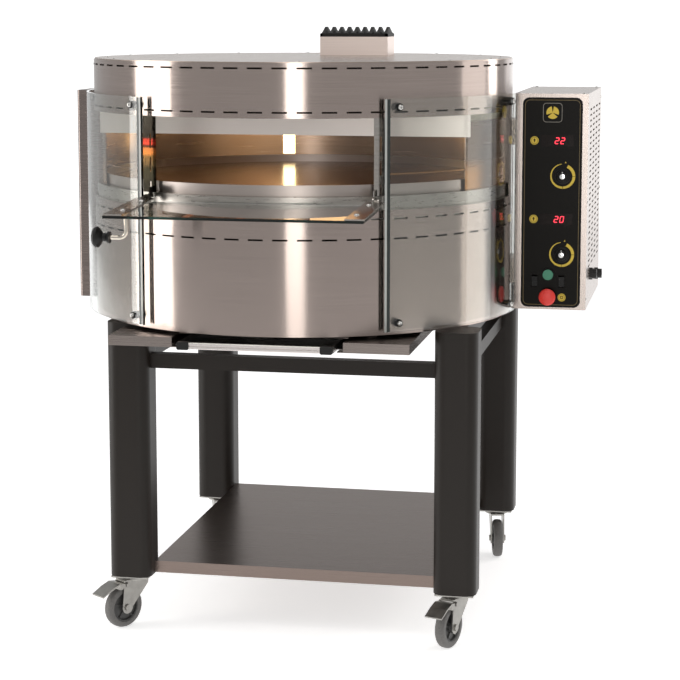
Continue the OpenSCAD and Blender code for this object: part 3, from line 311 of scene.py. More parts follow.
def turned(shape, profile, foot, axis, steps=48, finish_index=0):
    """Adds a turned form: profile is (radius, height) in millimetres along axis."""
    lean = Vector((0, 0, 1)).rotation_difference(Vector(axis)).to_matrix()
    rings = []
    for radius, height in profile:
        ring = []
        for k in range(steps):
            a = 2 * math.pi * k / steps
            point = lean @ Vector((radius * math.cos(a), radius * math.sin(a), height))
            ring.append(shape.verts.new(foot + point / 1000))
        rings.append(ring)
    for low, high in zip(rings, rings[1:]):
        for k in range(steps):
            j = (k + 1) % steps
            face = shape.faces.new((low[k], low[j], high[j], high[k]))
            face.material_index = finish_index


def joined_rows(shape, rows, finish_index=0):
    """Adds a closed form through rows of corners, with a face at each end."""
    rings = [[shape.verts.new(point) for point in row] for row in rows]
    faces = [shape.faces.new(rings[0]), shape.faces.new(rings[-1])]
    for near, far in zip(rings, rings[1:]):
        for k in range(len(near)):
            j = (k + 1) % len(near)
            faces.append(shape.faces.new((near[k], near[j], far[j], far[k])))
    for face in faces:
        face.material_index = finish_index


def make_piece(name, shape, finishes, body):
    """Turns the shape into an object that rides on a body of the oven."""
    bmesh.ops.remove_doubles(shape, verts=shape.verts, dist=1e-6)
    bmesh.ops.recalc_face_normals(shape, faces=shape.faces)
    for face in shape.faces:
        face.smooth = True
    for edge in shape.edges:
        edge.smooth = len(edge.link_faces) == 2 and edge.calc_face_angle(0) < SHARP_ANGLE
    mesh = bpy.data.meshes.new(name)
    shape.to_mesh(mesh)
    shape.free()
    for finish in finishes:
        mesh.materials.append(finish)
    thing = bpy.data.objects.new(name, mesh)
    bpy.context.collection.objects.link(thing)
    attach(thing, body)
    return thing


tyre_rubber = grained("tyre_rubber", (0.115, 0.11, 0.105), rough=0.55, grain=220, detail=4,
                      spread=0.2, rough_spread=0.12, relief=0.3)
hub_plastic = grained("hub_plastic", (0.035, 0.034, 0.033), rough=0.4, grain=500,
                      spread=0.15, rough_spread=0.06, relief=0.15)

for corner in CORNERS:
    low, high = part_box("wheel_" + corner)
    hub = (low + high) / 2
    joint = next(j for j in frame["joints"] if j["name"] == "roll_" + corner)
    axle = Vector(joint["axis"]).normalized()
    shape = bmesh.new()
    turned(shape, TREAD, hub, axle, WHEEL_STEPS)
    tyre = make_piece("tyre_" + corner, shape, [tyre_rubber], "roller_" + corner)
    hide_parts("wheel_" + corner)
    shape = bmesh.new()
    turned(shape, WEB, hub, axle, WHEEL_STEPS)
    up = Vector((0, 0, 1))
    side = axle.cross(up).normalized()
    for k in range(HUB_RIBS):
        a = 2 * math.pi * k / HUB_RIBS + RIB_TURN
        out = side * math.cos(a) + up * math.sin(a)
        around = axle.cross(out)
        joined_rows(shape, [
            [hub + (out * reach + axle * RIB_HALF_LENGTH * lift + around * half * turn) / 1000
             for lift, turn in ((-1, -1), (-1, 1), (1, 1), (1, -1))]
            for reach, half in RIB_ENDS
        ])
    make_piece("hub_" + corner, shape, [hub_plastic], "roller_" + corner)

# Base tray: closed flat boxes of brushed sheet each side of the drawer,
# with the bridge over it. The grain runs from left to right.
tray_steel = brushed("tray_steel", (0.29, 0.25, 0.23), rough=0.27, grain=(4, 500, 500))
dress(tray_steel, "base_tray")

# Crumb drawer: a folded tray that slides under the body, pulled by a grooved
# aluminium bar with a black moulded cap on each end.
drawer_steel = brushed("drawer_steel", (0.45, 0.43, 0.41), rough=0.28, grain=(4, 500, 500))
bar_aluminium = brushed("bar_aluminium", (0.80, 0.75, 0.73), rough=0.24, grain=(3, 700, 700))
black_moulding = grained("black_moulding", (0.008, 0.008, 0.0075), rough=0.38, grain=900,
                         spread=0.2, relief=0.2, shine=0.3)
dress(drawer_steel, "drawer_tray")
dress(bar_aluminium, "drawer_handle")
dress(black_moulding, "handle_end_caps")

# Round body: floor, slotted shells and rear sheet, rolled from stainless
# steel. It is brushed round the drum, so its grain lies level.
shell_steel = brushed("shell_steel", (0.40, 0.335, 0.305), rough=0.2, grain=(5, 5, 900),
                      relief=0.03, stretch=0.9)
dress(shell_steel, "lower_shell", "upper_band", "rear_skin", "chassis_floor")

# Hearth pan and the deck's drive: a plain steel pan with a raised ledge, over
# a cast bearing, a cut gear, its pinion and a painted gearmotor.
ledge_steel = brushed("ledge_steel", (0.40, 0.372, 0.342), rough=0.3, grain=(40, 40, 300))
gear_steel = brushed("gear_steel", (0.30, 0.285, 0.26), rough=0.36, grain=(120, 120, 20),
                     spread=0.1)
turned_steel = brushed("turned_steel", (0.42, 0.42, 0.43), rough=0.24, grain=(20, 20, 1200))
motor_paint = grained("motor_paint", (0.05, 0.07, 0.1), rough=0.4, grain=400, detail=3,
                      spread=0.15, rough_spread=0.08, relief=0.3)
cast_grey = grained("cast_grey", (0.12, 0.12, 0.125), rough=0.6, grain=300, detail=4,
                    spread=0.2, rough_spread=0.1, relief=0.6, metal=0.6)
dress(ledge_steel, "hearth_pan")
dress(gear_steel, "deck_gear", "motor_pinion")
dress(turned_steel, "deck_shaft")
dress(motor_paint, "gearmotor")
dress(cast_grey, "deck_bearing")

# Rotating deck: a steel pan with a rolled rim and three dense stone slabs,
# browned and polished by use.
rim_steel = brushed("rim_steel", (0.45, 0.395, 0.365), rough=0.34, grain=(8, 8, 600),
                    spread=0.03, relief=0.02)
baked_stone = grained("baked_stone", (0.040, 0.031, 0.026), rough=0.2, grain=90, detail=8,
                      spread=0.3, relief=0.03, shine=0.3)
dress(rim_steel, "deck_pan")
dress(baked_stone, "deck_stone")

# Baking chamber: a wall and ceiling of steel tinted brown by the heat, a paler
# front plate, glowing rods, and a lamp behind an amber glass at the back, all
# packed in mineral wool.


def glow(finish, tint, strength):
    """Gives a finish light of its own, of a fixed strength or from a socket."""
    tree = finish.node_tree
    shader = tree.nodes["Principled BSDF"]
    shader.inputs["Emission Color"].default_value = (*tint, 1)
    feed(tree, shader.inputs["Emission Strength"], strength)


def mixed(tree, share, one, other):
    """A colour between one and the other; a Mix node's colours are inputs 6 and 7."""
    mix = tree.nodes.new("ShaderNodeMix")
    mix.data_type = "RGBA"
    tree.links.new(share, mix.inputs[0])
    feed(tree, mix.inputs[6], one)
    feed(tree, mix.inputs[7], other)
    return mix.outputs[2]


chamber_steel_painted_glow = brushed("chamber_steel_painted_glow", (0.33, 0.255, 0.205), rough=0.24, grain=(6, 6, 260),
                    spread=0.16)
tree = chamber_steel_painted_glow.node_tree
base_socket = tree.nodes["Principled BSDF"].inputs["Base Color"]
surface = on_surface(tree, "Object")
# Painted light: the wall glows a little all over, and most beside the lamp.
from_lamp = vectors(tree, "DISTANCE", surface, spot(-205, 430, 1150))
glow(chamber_steel_painted_glow, (1, 0.54, 0.24), fade(tree, from_lamp, 0.02, 0.25, 0.24, 0.022))
# The outer face of the wall shows through the side glasses: it is painted
# darker as shade, and golden where it meets the deck.
outward = vectors(tree, "SUBTRACT", surface, spot(0, 0, 1150))
facing_out = vectors(tree, "DOT_PRODUCT", outward, on_surface(tree, "Normal"))
_, _, z = axes(tree, "Object")
outer_shade_and_gold = mixed(tree, fade(tree, z, 1.085, 1.125, 0, 1),
                   (0.30, 0.15, 0.055, 1), (0.075, 0.052, 0.038, 1))
wall_tint_with_painted_shade = mixed(tree, fade(tree, facing_out, 0.1, 0.3, 0, 1),
                  base_socket.links[0].from_socket, outer_shade_and_gold)
tree.links.new(wall_tint_with_painted_shade, base_socket)
front_steel = brushed("front_steel", (0.78, 0.71, 0.665), rough=0.38, grain=(5, 5, 500),
                      spread=0.02, relief=0.01)
dress(chamber_steel_painted_glow, "chamber_wall", "chamber_ceiling")
dress(front_steel, "front_plate")

rod_glow = grained("rod_glow", (0.10, 0.04, 0.025), rough=0.5, grain=80, detail=3,
                   spread=0.3, rough_spread=0.1, relief=0.3)
glow(rod_glow, (1, 0.25, 0.05), 0.35)
dress(rod_glow, "heating_elements")

lamp_amber = grained("lamp_amber", (1, 0.75, 0.42), rough=0.3, grain=60, relief=0.1)
glow(lamp_amber, (1, 0.72, 0.36), 9.0)
dress(lamp_amber, "chamber_lamp")

wool = grained("mineral_wool", (0.55, 0.5, 0.36), rough=0.9, grain=150, detail=6,
               spread=0.25, relief=1.0)
dress(wool, "insulation")

for name, place, watts in (
    ("chamber_glow_back", spot(-130, 330, 1190), 0.16),
    ("chamber_glow_front", spot(60, 60, 1195), 0.3),
):
    chamber_light = bpy.data.lights.new(name, "POINT")
    chamber_light.energy = watts
    chamber_light.color = (1, 0.6, 0.28)
    chamber_light.shadow_soft_size = 0.06
    bulb = bpy.data.objects.new(name, chamber_light)
    bulb.location = place
    bpy.context.collection.objects.link(bulb)

# Seam of the chamber wall: a thin rolled bead where the wall's lower and upper
# sheets meet, just above the deck's rim. The mouth's half is in degrees.
MOUTH_HALF = 32
SEAM_R, SEAM_Z = (487.4, 489.8), (1096, 1099)


def bent_strip(shape, start, end, steps, radii, heights, finish_index=0):
    """Adds a strip bent round the body between two angles, radii and heights."""
    rows = []
    for k in range(steps + 1):
        a = math.radians(start + (end - start) * k / steps)
        rows.append([
            spot(r * math.sin(a), -r * math.cos(a), z)
            for r, z in ((radii[0], heights[0]), (radii[1], heights[0]),
                         (radii[1], heights[1]), (radii[0], heights[1]))
        ])
    joined_rows(shape, rows, finish_index)


# The bead takes the wall's finish, with its painted glow.
shape = bmesh.new()
bent_strip(shape, MOUTH_HALF, 360 - MOUTH_HALF, steps=98, radii=SEAM_R, heights=SEAM_Z)
make_piece("wall_seam", shape, [chamber_steel_painted_glow], "oven_body")

# Mouth posts: two folded strips with three long slots each, which carry the
# flap's hinge pins. The right one is bright, and the left one is painted with
# reflections in bands, dark, olive, orange and red, from its foot up.
bright_steel = brushed("bright_steel", (0.44, 0.41, 0.38), rough=0.16, grain=(30, 30, 200),
                       spread=0.04, relief=0.03)
dress(bright_steel, "right_post")
post_painted_reflections = brushed("post_painted_reflections", (0.03, 0.025, 0.02), rough=0.2, grain=(30, 30, 200),
                    spread=0.1, relief=0.03)
PAINTED_REFLECTION_BANDS = (
    (0.0, (0.03, 0.026, 0.02)), (0.3, (0.05, 0.042, 0.026)), (0.42, (0.15, 0.09, 0.04)),
    (0.52, (0.20, 0.10, 0.035)), (0.58, (0.55, 0.19, 0.05)), (0.66, (0.5, 0.16, 0.05)),
    (0.69, (0.06, 0.03, 0.02)), (0.74, (0.55, 0.06, 0.035)), (0.79, (0.45, 0.05, 0.03)),
    (0.83, (0.035, 0.028, 0.022)), (1.0, (0.045, 0.038, 0.03)),
)
# Painted reflection: the bands up the left post stand for the chamber's glow mirrored in it.
post_low, post_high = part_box("left_post")
tree = post_painted_reflections.node_tree
_, _, z = axes(tree, "Object")
up_the_post = fade(tree, z, post_low.z, post_high.z, 0, 1)
tree.links.new(colour_ramp(tree, up_the_post, PAINTED_REFLECTION_BANDS, "EASE"),
               tree.nodes["Principled BSDF"].inputs["Base Color"])
dress(post_painted_reflections, "left_post")

# Curved glasses: thick clear sheets bent round the body and screwed to it at
# their corners. Seen on edge the glass is a deep grey green.


def clear_glass(name, tint, edge_tint, bent):
    """Glass that is bent round the body, or lies flat; smears vary its gloss."""
    finish, tree, shader = new_finish(name, tint, rough=0.02)
    shader.inputs["Transmission Weight"].default_value = 1.0
    shader.inputs["IOR"].default_value = 1.45
    sheet_faces = (0, 0, 1)
    if bent:
        outward = vectors(tree, "SUBTRACT", on_surface(tree, "Object"),
                          (middle.x, middle.y, 0))
        level = vectors(tree, "MULTIPLY", outward, (1, 1, 0))
        sheet_faces = vectors(tree, "NORMALIZE", level)
    facing = vectors(tree, "DOT_PRODUCT", on_surface(tree, "Normal"), sheet_faces)
    tree.links.new(
        colour_ramp(tree, maths(tree, "ABSOLUTE", facing), ((0.5, edge_tint), (0.7, tint))),
        shader.inputs["Base Color"],
    )
    smear = tree.nodes.new("ShaderNodeTexNoise")
    smear.inputs["Scale"].default_value = 9
    tree.links.new(on_surface(tree, "Object"), smear.inputs["Vector"])
    tree.links.new(fade(tree, smear.outputs["Fac"], 0, 1, 0, 0.05, "LINEAR"),
                   shader.inputs["Roughness"])
    return finish


side_glass = clear_glass("side_glass", (0.94, 0.96, 0.94), (0.02, 0.05, 0.045), bent=True)
dress(side_glass, "left_glass", "right_glass")

# Edges of the glasses: along each upright front edge lies a narrow light strip,
# a painted highlight, and behind it a dark strip, painted shade for the dark
# line that the thickness of the glass makes. The ends of the glass and of both
# lines are in degrees round the body.
glass_low, glass_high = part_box("left_glass")
glass_foot, glass_top = glass_low.z * 1000, glass_high.z * 1000
drum = (shell_high.x - shell_low.x) * 500
GLASS_GAP, GLASS_THICK = 12, 6
glass_in = drum + GLASS_GAP
glass_out = glass_in + GLASS_THICK
NEAR, FAR = MOUTH_HALF, 85.5
edge_painted_highlight = grained("edge_painted_highlight", (0.42, 0.43, 0.41), rough=0.5, grain=300, detail=3,
                      rough_spread=0.1, relief=0.2)
edge_painted_shade = grained("edge_painted_shade", (0.02, 0.026, 0.024), rough=0.25, grain=300, detail=3)
HIGHLIGHT_STRIP, SHADE_STRIP = (0.05, 0.6), (0.65, 1.45)
LINE_FOOT, LINE_FACE, LINE_SHORT = 0.1, 0.35, 1
shape = bmesh.new()
for side in (-1, 1):
    for finish_index, (start, end) in enumerate((HIGHLIGHT_STRIP, SHADE_STRIP)):
        bent_strip(shape, side * (NEAR + start), side * (NEAR + end), steps=1,
                   radii=(glass_out + LINE_FOOT, glass_out + LINE_FACE),
                   heights=(glass_foot + LINE_SHORT, glass_top - LINE_SHORT),
                   finish_index=finish_index)
make_piece("glass_edge_lines", shape, [edge_painted_highlight, edge_painted_shade], "oven_body")

# Glass screws: a black bush behind the glass, a dark washer and a bright
# domed socket head at each corner.
screw_steel = brushed("screw_steel", (0.55, 0.54, 0.52), rough=0.2, grain=300, spread=0.1)
SOCKET_HEAD = [(0, 2.2), (1.9, 2.2), (2.2, 3.9), (3.4, 4.1), (5.0, 3.3), (6.0, 1.8),
               (6.3, 0), (0, 0)]
BUSH_R, WASHER_R, WASHER_THICK = 9, 8, 1
SCREW_INSET, SCREW_FROM_END = 37, 19
inset_angle = math.degrees(SCREW_INSET / glass_in)
bush, bush_end, washer = drum - 0.4, glass_in - 0.4, glass_out + 0.2
washer_top = washer + WASHER_THICK
shape = bmesh.new()
for side in (-1, 1):
    for angle in (NEAR + inset_angle, FAR - inset_angle):
        for height in (glass_foot + SCREW_FROM_END, glass_top - SCREW_FROM_END):
            a = math.radians(side * angle)
            out = Vector((math.sin(a), -math.cos(a), 0))
            seat = spot(0, 0, height)
            for radius, near, far in ((BUSH_R, bush, bush_end),
                                      (WASHER_R, washer, washer_top)):
                turned(shape, [(0, near), (radius, near), (radius, far), (0, far)], seat, out,
                       steps=32, finish_index=1)
            turned(shape, SOCKET_HEAD, seat + out * washer_top / 1000, out, steps=32)
screws = make_piece("glass_screw_set", shape, [screw_steel, black_moulding], "oven_body")
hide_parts("glass_screws")

# Roof: a flat brushed disc on the band, held by small pan-head screws near
# its rim.
roof_steel = brushed("roof_steel", (0.46, 0.38, 0.33), rough=0.24, grain=(700, 5, 5))
dress(roof_steel, "top_cover")
PAN_HEAD = [(0, 0.9), (1.0, 0.9), (1.1, 1.7), (2.6, 1.5), (3.4, 0.9), (3.6, 0), (0, 0)]
ROOF_SCREWS, ROOF_SCREW_R, FIRST_SCREW = 16, 480, 11
roof_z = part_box("top_cover")[1].z * 1000
shape = bmesh.new()
for k in range(ROOF_SCREWS):
    a = math.radians(FIRST_SCREW + k * 360 / ROOF_SCREWS)
    seat = spot(ROOF_SCREW_R * math.sin(a), -ROOF_SCREW_R * math.cos(a), roof_z)
    turned(shape, PAN_HEAD, seat, (0, 0, 1), steps=20)
make_piece("roof_screws", shape, [screw_steel], "oven_body")

# Flue: a small welded box of brushed sheet on the roof and the black cast
# grille that closes it. The grille's nine bars taper and arch over a low frame.
flue_steel = brushed("flue_steel", (0.88, 0.76, 0.70), rough=0.34, grain=(5, 5, 700),
                     spread=0.03, relief=0.02)
dress(flue_steel, "flue_box")
cast_black = grained("cast_black", (0.010, 0.0095, 0.009), rough=0.5, grain=420, detail=5,
                     spread=0.3, rough_spread=0.1, relief=0.7, shine=0.25)
grille_low, grille_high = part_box("flue_grille")
grille_mid = (grille_low + grille_high) / 2
half_w = (grille_high.x - grille_low.x) * 500
half_d = (grille_high.y - grille_low.y) * 500
BAR_COUNT, FIRST_BAR, BAR_SHORT = 9, 7, 0.5
FRAME_TOP, BAR_END_TOP, BAR_TOP = 8, 8.5, 25
FOOT_HALF, WAIST_HALF, CREST_HALF = 6.2, 5.6, 3.4
SIDE_HALF, END_HALF = 3.5, 4
ARCH, ARCH_BEND = (0.08, 0.25, 0.45, 0.65, 0.85, 1), 1.3


def grille_block(shape, rows):
    """Adds one closed bar: rows of (x, z) corners, each at its own y."""
    joined_rows(shape, [
        [Vector((grille_mid.x + x / 1000, grille_mid.y + y / 1000, grille_low.z + z / 1000))
         for x, z in corners]
        for y, corners in rows
    ])


def frame_bar(shape, x_from, x_to, y_from, y_to):
    corners = [(x_from, 0), (x_to, 0), (x_to, FRAME_TOP), (x_from, FRAME_TOP)]
    grille_block(shape, [(y_from, corners), (y_to, corners)])


shape = bmesh.new()
bar_step = (2 * half_w - 2 * FIRST_BAR) / (BAR_COUNT - 1)
for k in range(BAR_COUNT):
    x = -half_w + FIRST_BAR + k * bar_step
    rows = []
    for share in [-s for s in reversed(ARCH)] + list(ARCH):
        top = BAR_END_TOP + (BAR_TOP - BAR_END_TOP) * (1 + ARCH[0] - abs(share)) ** ARCH_BEND
        rows.append((share * (half_d - BAR_SHORT), [
            (x - FOOT_HALF, 0), (x + FOOT_HALF, 0), (x + WAIST_HALF, FRAME_TOP),
            (x + CREST_HALF, top), (x - CREST_HALF, top), (x - WAIST_HALF, FRAME_TOP),
        ]))
    grille_block(shape, rows)
for side in (-1, 1):
    x = side * (half_w - SIDE_HALF)
    frame_bar(shape, x - SIDE_HALF, x + SIDE_HALF, -half_d, half_d)
    y = side * (half_d - END_HALF)
    frame_bar(shape, -half_w, half_w, y - END_HALF, y + END_HALF)
grille = make_piece("cast_grille", shape, [cast_black], "oven_body")
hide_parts("flue_grille")

# Left side box: a narrow closed box of folded sheet on the drum's side, with
# a rolled outer front edge.
side_steel = brushed("side_steel", (0.235, 0.196, 0.18), rough=0.27, grain=(5, 5, 400),
                     spread=0.015, relief=0.008)
dress(side_steel, "left_side_box")

# Control box: a folded body with a lid and vented right side, fixed by
# small screws along its folded edges.
box_steel = brushed("box_steel", (0.52, 0.455, 0.42), rough=0.25, grain=(300, 300, 6),
                    spread=0.015, relief=0.008)
dress(box_steel, "control_box", "control_box_cover")
box_low, box_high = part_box("control_box_cover")
left_x, right_x = (box_low.x - middle.x) * 1000, (box_high.x - middle.x) * 1000
base_z, lid_z = box_low.z * 1000, box_high.z * 1000
back_y = (box_high.y - middle.y) * 1000
FROM_FOLD, FROM_END = 12, 25
screw_rows = (FROM_FOLD, back_y - FROM_FOLD)
shape = bmesh.new()
for y in screw_rows:
    for z in (base_z + FROM_END, (base_z + lid_z) / 2, lid_z - FROM_END):
        turned(shape, PAN_HEAD, spot(right_x, y, z), (1, 0, 0), steps=20)
for x in (left_x + FROM_FOLD, right_x - FROM_FOLD):
    for y in screw_rows:
        turned(shape, PAN_HEAD, spot(x, y, lid_z), (0, 0, 1), steps=20)
make_piece("box_screws", shape, [screw_steel], "oven_body")

# Cable glands: black plastic with a hexagon and a ribbed clamping nut, screwed
# into the control box's side.
dress(black_moulding, "cable_glands")

# Control fascia: a black gloss panel on the control box's front, with a fine
# gold line printed round it.
fascia_low, fascia_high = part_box("control_fascia")
fascia_w = (fascia_high.x - fascia_low.x) * 1000
fascia_h = (fascia_high.z - fascia_low.z) * 1000
fascia_x = (fascia_low.x - middle.x) * 1000
fascia_z = fascia_low.z * 1000
PRINT_Y, PRINT_THICK, OVER_PRINT = -3.0, 0.25, 0.2
fascia_gloss = grained("fascia_gloss", (0.0045, 0.0036, 0.0026), rough=0.3, grain=500,
                       rough_spread=0.03, relief=0.03, shine=0.1)
gold_ink = grained("gold_ink", (0.16, 0.11, 0.035), rough=0.4, grain=300)
yellow_ink = grained("yellow_ink", (0.62, 0.44, 0.035), rough=0.45, grain=300, spread=0.06)
grey_ink = grained("grey_ink", (0.22, 0.2, 0.17), rough=0.4, grain=300, spread=0.06)
dress(fascia_gloss, "control_fascia")


def printed(shape, outline, lift=0.0, finish_index=0):
    """Adds a thin raised print on the fascia: outline is (x, z) in millimetres."""
    joined_rows(shape, [
        [spot(x, PRINT_Y - lift - thick, z) for x, z in outline]
        for thick in (0, PRINT_THICK)
    ], finish_index)


def band(shape, inner, outer, **more):
    """Adds a printed line between two open rows of points, piece by piece."""
    for k in range(len(inner) - 1):
        printed(shape, [inner[k], inner[k + 1], outer[k + 1], outer[k]], **more)


def arc(x, z, radius, start, end, count):
    """Points on an arc of the fascia's face, from one angle to another."""
    return [
        (x + radius * math.cos(math.radians(start + (end - start) * k / count)),
         z + radius * math.sin(math.radians(start + (end - start) * k / count)))
        for k in range(count + 1)
    ]


def rounded_frame(x, z, width, height, corner):
    """The closed outline of an upright rectangle with round corners."""
    points = []
    for cx, cz, start in (
        (x + width - corner, z + height - corner, 0),
        (x + corner, z + height - corner, 90),
        (x + corner, z + corner, 180),
        (x + width - corner, z + corner, 270),
    ):
        points += arc(cx, cz, corner, start, start + 90, 8)
    return points + points[:1]


def frame_line(shape, x, z, width, height, corner, line, **more):
    """Adds a printed line round a rectangle: x and z are its low left corner."""
    inner = rounded_frame(x + line, z + line, width - 2 * line, height - 2 * line,
                          corner - line)
    band(shape, inner, rounded_frame(x, z, width, height, corner), **more)


LINE_INSET = 5.5
shape = bmesh.new()
frame_line(shape, fascia_x + LINE_INSET, fascia_z + LINE_INSET, fascia_w - 2 * LINE_INSET,
           fascia_h - 2 * LINE_INSET, corner=12, line=1.1)
make_piece("fascia_outline", shape, [gold_ink], "oven_body")

# Badge: a rounded square in grey ink, printed near the top of the fascia, with
# a yellow disc in it that is cut in three.
BADGE, DISC_R = 46, 15
WEDGE_STARTS, WEDGE_SWEEP = (100, 220, 340), 100
badge_x, badge_z = fascia_x + fascia_w / 2, fascia_z + 470
shape = bmesh.new()
frame_line(shape, badge_x - BADGE / 2, badge_z - BADGE / 2, BADGE, BADGE, corner=8, line=1.2,
           finish_index=1)
for start in WEDGE_STARTS:
    wedge = arc(badge_x, badge_z, DISC_R, start, start + WEDGE_SWEEP, 12)
    printed(shape, wedge + [(badge_x, badge_z)])
make_piece("badge_frame", shape, [yellow_ink, grey_ink], "oven_body")

# Dial scales: round each dial a yellow printed ring that grows from thin to
# thick, with two black ticks across it and a small triangle over it.
ACROSS, LOWER_UP, UPPER_UP = 0.683, 0.255, 0.6285
dial_x = fascia_x + fascia_w * ACROSS
dial_heights = (fascia_z + fascia_h * LOWER_UP, fascia_z + fascia_h * UPPER_UP)
SCALE_R, SCALE_STEPS, SCALE_START, SCALE_SWEEP = 30, 48, 95, 330
THIN, GROWS, GROWTH_BEND = 1.4, 6.4, 0.8
TICK_ANGLES = (270, 0)
TICK_FROM, TICK_TO, TICK_HALF = 22, 30.5, 0.5
TRIANGLE = ((4.5, 31.5), (8.5, 31.5), (6.5, 35.5))
shape = bmesh.new()
for z in dial_heights:
    inner, outer = [], []
    for k in range(SCALE_STEPS + 1):
        share = k / SCALE_STEPS
        a = math.radians(SCALE_START + SCALE_SWEEP * share)
        wide = THIN + GROWS * share ** GROWTH_BEND
        for radius, row in ((SCALE_R - wide, inner), (SCALE_R, outer)):
            row.append((dial_x + radius * math.cos(a), z + radius * math.sin(a)))
    band(shape, inner, outer)
    for angle in TICK_ANGLES:
        ux, uz = math.cos(math.radians(angle)), math.sin(math.radians(angle))
        printed(shape, [
            (dial_x + ux * reach - uz * half, z + uz * reach + ux * half)
            for reach, half in ((TICK_FROM, TICK_HALF), (TICK_FROM, -TICK_HALF),
                                (TICK_TO, -TICK_HALF), (TICK_TO, TICK_HALF))
        ], lift=OVER_PRINT, finish_index=1)
    printed(shape, [(dial_x + px, z + pz) for px, pz in TRIANGLE])
make_piece("dial_scales", shape, [yellow_ink, fascia_gloss], "oven_body")

# Round signs: three yellow printed discs with a black ring near the rim. Two
# have an arrow that points up, and the one by the red button a small ring.
OVER = {"lift": OVER_PRINT, "finish_index": 1}
ARROW_LIFT = OVER_PRINT + 0.01
ARROW_X, ARROW_HEIGHTS, ARROW_R = 29, (403, 214), 10
RING_X, RING_HEIGHT, RING_R = 1.5, 24.5, 9.5
arrow_signs = [(fascia_x + ARROW_X, fascia_z + height, ARROW_R) for height in ARROW_HEIGHTS]
ring_sign = (dial_x + RING_X, fascia_z + RING_HEIGHT, RING_R)
RING_IN, RING_OUT = 2.6, 1.9
SMALL_RING_IN, SMALL_RING_OUT = 2.4, 4.0
SHAFT = ((-1.2, -4), (1.2, -4), (1.2, 4), (-1.2, 4))
ARROW_HEAD = ((-3.4, 0.5), (3.4, 0.5), (0, 5))
shape = bmesh.new()
for x, z, radius in arrow_signs + [ring_sign]:
    printed(shape, arc(x, z, radius, 0, 354, 40))
    band(shape, arc(x, z, radius - RING_IN, 0, 360, 32),
         arc(x, z, radius - RING_OUT, 0, 360, 32), **OVER)
for x, z, _ in arrow_signs:
    printed(shape, [(x + px, z + pz) for px, pz in SHAFT], **OVER)
    printed(shape, [(x + px, z + pz) for px, pz in ARROW_HEAD], lift=ARROW_LIFT,
            finish_index=1)
x, z, _ = ring_sign
band(shape, arc(x, z, SMALL_RING_IN, 0, 360, 24), arc(x, z, SMALL_RING_OUT, 0, 360, 24),
     **OVER)
make_piece("round_signs", shape, [yellow_ink, fascia_gloss], "oven_body")

# Displays: two dark red windows set in the fascia, with two lit figures each.
# A figure is made of up to seven slanting bars.
window_red = grained("window_red", (0.009, 0.006, 0.005), rough=0.15, grain=300,
                     rough_spread=0.03, relief=0.02, shine=0.14)
lit_red = grained("lit_red", (0.9, 0.05, 0.08), rough=0.4, grain=200, spread=0.05,
                  relief=0.02)
glow(lit_red, (1, 0.03, 0.06), 1.6)
dress(window_red, "displays")
BARS = {"top": (0, 14, 8, 14), "middle": (0, 7, 8, 7), "bottom": (0, 0, 8, 0),
        "upper_left": (0, 7, 0, 14), "upper_right": (8, 7, 8, 14),
        "lower_left": (0, 0, 0, 7), "lower_right": (8, 0, 8, 7)}
FIGURES = {"2": ("top", "upper_right", "middle", "lower_left", "bottom"),
           "0": ("top", "upper_right", "upper_left", "lower_left", "lower_right", "bottom")}
TEXTS = (("22", 396), ("20", 207))
DISPLAY_LIFT = 1.0
FIGURE_X, FIGURE_STEP, FIGURE_SLANT = 78, 13.5, 0.16
BAR_HALF, BAR_GAP = 0.95, 0.9
shape = bmesh.new()
for text, height in TEXTS:
    z = fascia_z + height
    for place, figure in enumerate(text):
        corner_x = fascia_x + FIGURE_X + place * FIGURE_STEP
        for bar in FIGURES[figure]:
            x0, z0, x1, z1 = BARS[bar]
            dx, dz = (1, 0) if z0 == z1 else (0, 1)
            x0, z0, x1, z1 = (x0 + dx * BAR_GAP, z0 + dz * BAR_GAP, x1 - dx * BAR_GAP,
                              z1 - dz * BAR_GAP)
            outline = [
                (x0 - dz * BAR_HALF, z0 - dx * BAR_HALF),
                (x1 - dz * BAR_HALF, z1 - dx * BAR_HALF),
                (x1 + dx * BAR_HALF, z1 + dz * BAR_HALF),
                (x1 + dz * BAR_HALF, z1 + dx * BAR_HALF),
                (x0 + dz * BAR_HALF, z0 + dx * BAR_HALF),
                (x0 - dx * BAR_HALF, z0 - dz * BAR_HALF),
            ]
            slanted = [(corner_x + px + pz * FIGURE_SLANT, z + pz) for px, pz in outline]
            printed(shape, slanted, lift=DISPLAY_LIFT)
make_piece("display_figures", shape, [lit_red], "oven_body")

# Dials: black moulded knobs with a round skirt, a ribbed grip, a bright metal
# cap and a white pointer line, pushed on shafts that come through the fascia.
knob_black = grained("knob_black", (0.007, 0.0065, 0.006), rough=0.36, grain=600,
                     spread=0.2, relief=0.15, shine=0.22)
cap_chrome = brushed("cap_chrome", (0.86, 0.85, 0.83), rough=0.12, grain=200, spread=0.03,
                     relief=0.02)
white_ink = grained("white_ink", (0.8, 0.8, 0.78), rough=0.4, grain=300, spread=0.04)
KNOB = [(0, 0), (18.4, 0), (19, 0.8), (18.6, 2.4), (15.5, 3.4), (13.4, 4.0), (12.4, 13.2),
        (11.6, 14.4), (9.4, 15.2), (0, 15.2)]
GRIP_RIB = [(0, 4), (1.3, 4), (1.2, 13), (0.5, 13.8), (0, 13.8)]
GRIP_RIBS, GRIP_R = 18, 12.8
CAP = [(0, 15.2), (6.6, 15.2), (6.2, 15.9), (4.5, 16.1), (0, 16.2)]
POINTER = ((-0.7, 8), (0.7, 8), (0.7, 11.4), (-0.7, 11.4))
POINTER_Y = (-14.0, -15.45)
KNOB_Y = -3.4
TO_FRONT = (0, -1, 0)
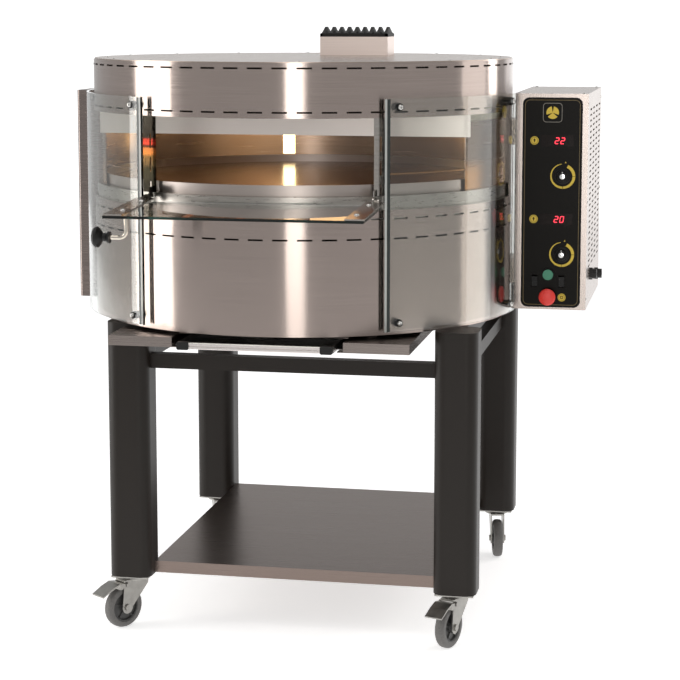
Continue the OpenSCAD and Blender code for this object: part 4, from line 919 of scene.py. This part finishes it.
for name, body in (("upper_dial", "upper_knob"), ("lower_dial", "lower_knob")):
    low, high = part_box(name)
    foot = Vector(((low.x + high.x) / 2, spot(0, KNOB_Y, 0).y, (low.z + high.z) / 2))
    shape = bmesh.new()
    turned(shape, KNOB, foot, TO_FRONT, steps=64)
    for k in range(GRIP_RIBS):
        a = 2 * math.pi * k / GRIP_RIBS
        out = Vector((math.cos(a), 0, math.sin(a)))
        turned(shape, GRIP_RIB, foot + out * GRIP_R / 1000, TO_FRONT, steps=10)
    turned(shape, CAP, foot, TO_FRONT, steps=40, finish_index=1)
    joined_rows(shape, [
        [foot + Vector((dx, dy, dz)) / 1000 for dx, dz in POINTER]
        for dy in POINTER_Y
    ], finish_index=2)
    knob = make_piece(name + "_knob", shape, [knob_black, cap_chrome, white_ink], body)
    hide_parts(name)

# Buttons and rockers: a green press button, a red mushroom button and two
# black rockers in low bezels.
green_cap = grained("green_cap", (0.035, 0.21, 0.12), rough=0.35, grain=300, spread=0.08)
red_cap = grained("red_cap", (0.72, 0.035, 0.025), rough=0.34, grain=300, spread=0.06)
dress(green_cap, "start_button")
dress(red_cap, "emergency_button")
dress(knob_black, "left_rocker", "right_rocker")

# Flap: a flat sheet of clear glass, tinted dark as painted shade, between two
# satin steel strips, whose ears turn on the posts' pins, with bolts where the
# strips clamp the glass.
flap_glass = clear_glass("flap_clear", (0.44, 0.46, 0.44), (0.02, 0.06, 0.05), bent=False)
strip_steel = brushed("strip_steel", (0.46, 0.43, 0.40), rough=0.2, grain=(200, 5, 200))
dress(flap_glass, "flap_glass")
dress(strip_steel, "flap_arms")
FLAP_SLOPE = math.radians(3)
HINGE = spot(0, -460, 1040)
STRIP_X, STRIP_TOP = 257, 2
BOLT_REACHES = (200, 60)
DOME_HEAD = [(0, 3.6), (3.2, 3.2), (5.2, 1.9), (6.0, 0), (0, 0)]


def on_flap(x, reach, rise):
    """A place on the open flap, by its distance out from the hinge."""
    return HINGE + Vector((
        x / 1000,
        (-reach * math.cos(FLAP_SLOPE) - rise * math.sin(FLAP_SLOPE)) / 1000,
        (-reach * math.sin(FLAP_SLOPE) + rise * math.cos(FLAP_SLOPE)) / 1000,
    ))


flap_up = Vector((0, -math.sin(FLAP_SLOPE), math.cos(FLAP_SLOPE)))
shape = bmesh.new()
for side in (-1, 1):
    for reach in BOLT_REACHES:
        turned(shape, DOME_HEAD, on_flap(side * STRIP_X, reach, STRIP_TOP), flap_up, steps=28)
make_piece("flap_bolts", shape, [screw_steel], "flap")

# Handle: a bent bright rod under the glass with a black ball-shaped knob
# moulded on its end.
rod_chrome = brushed("rod_chrome", (0.66, 0.60, 0.52), rough=0.12, grain=200, spread=0.04,
                     relief=0.02)
dress(rod_chrome, "handle_rod")
dress(black_moulding, "handle_knob")
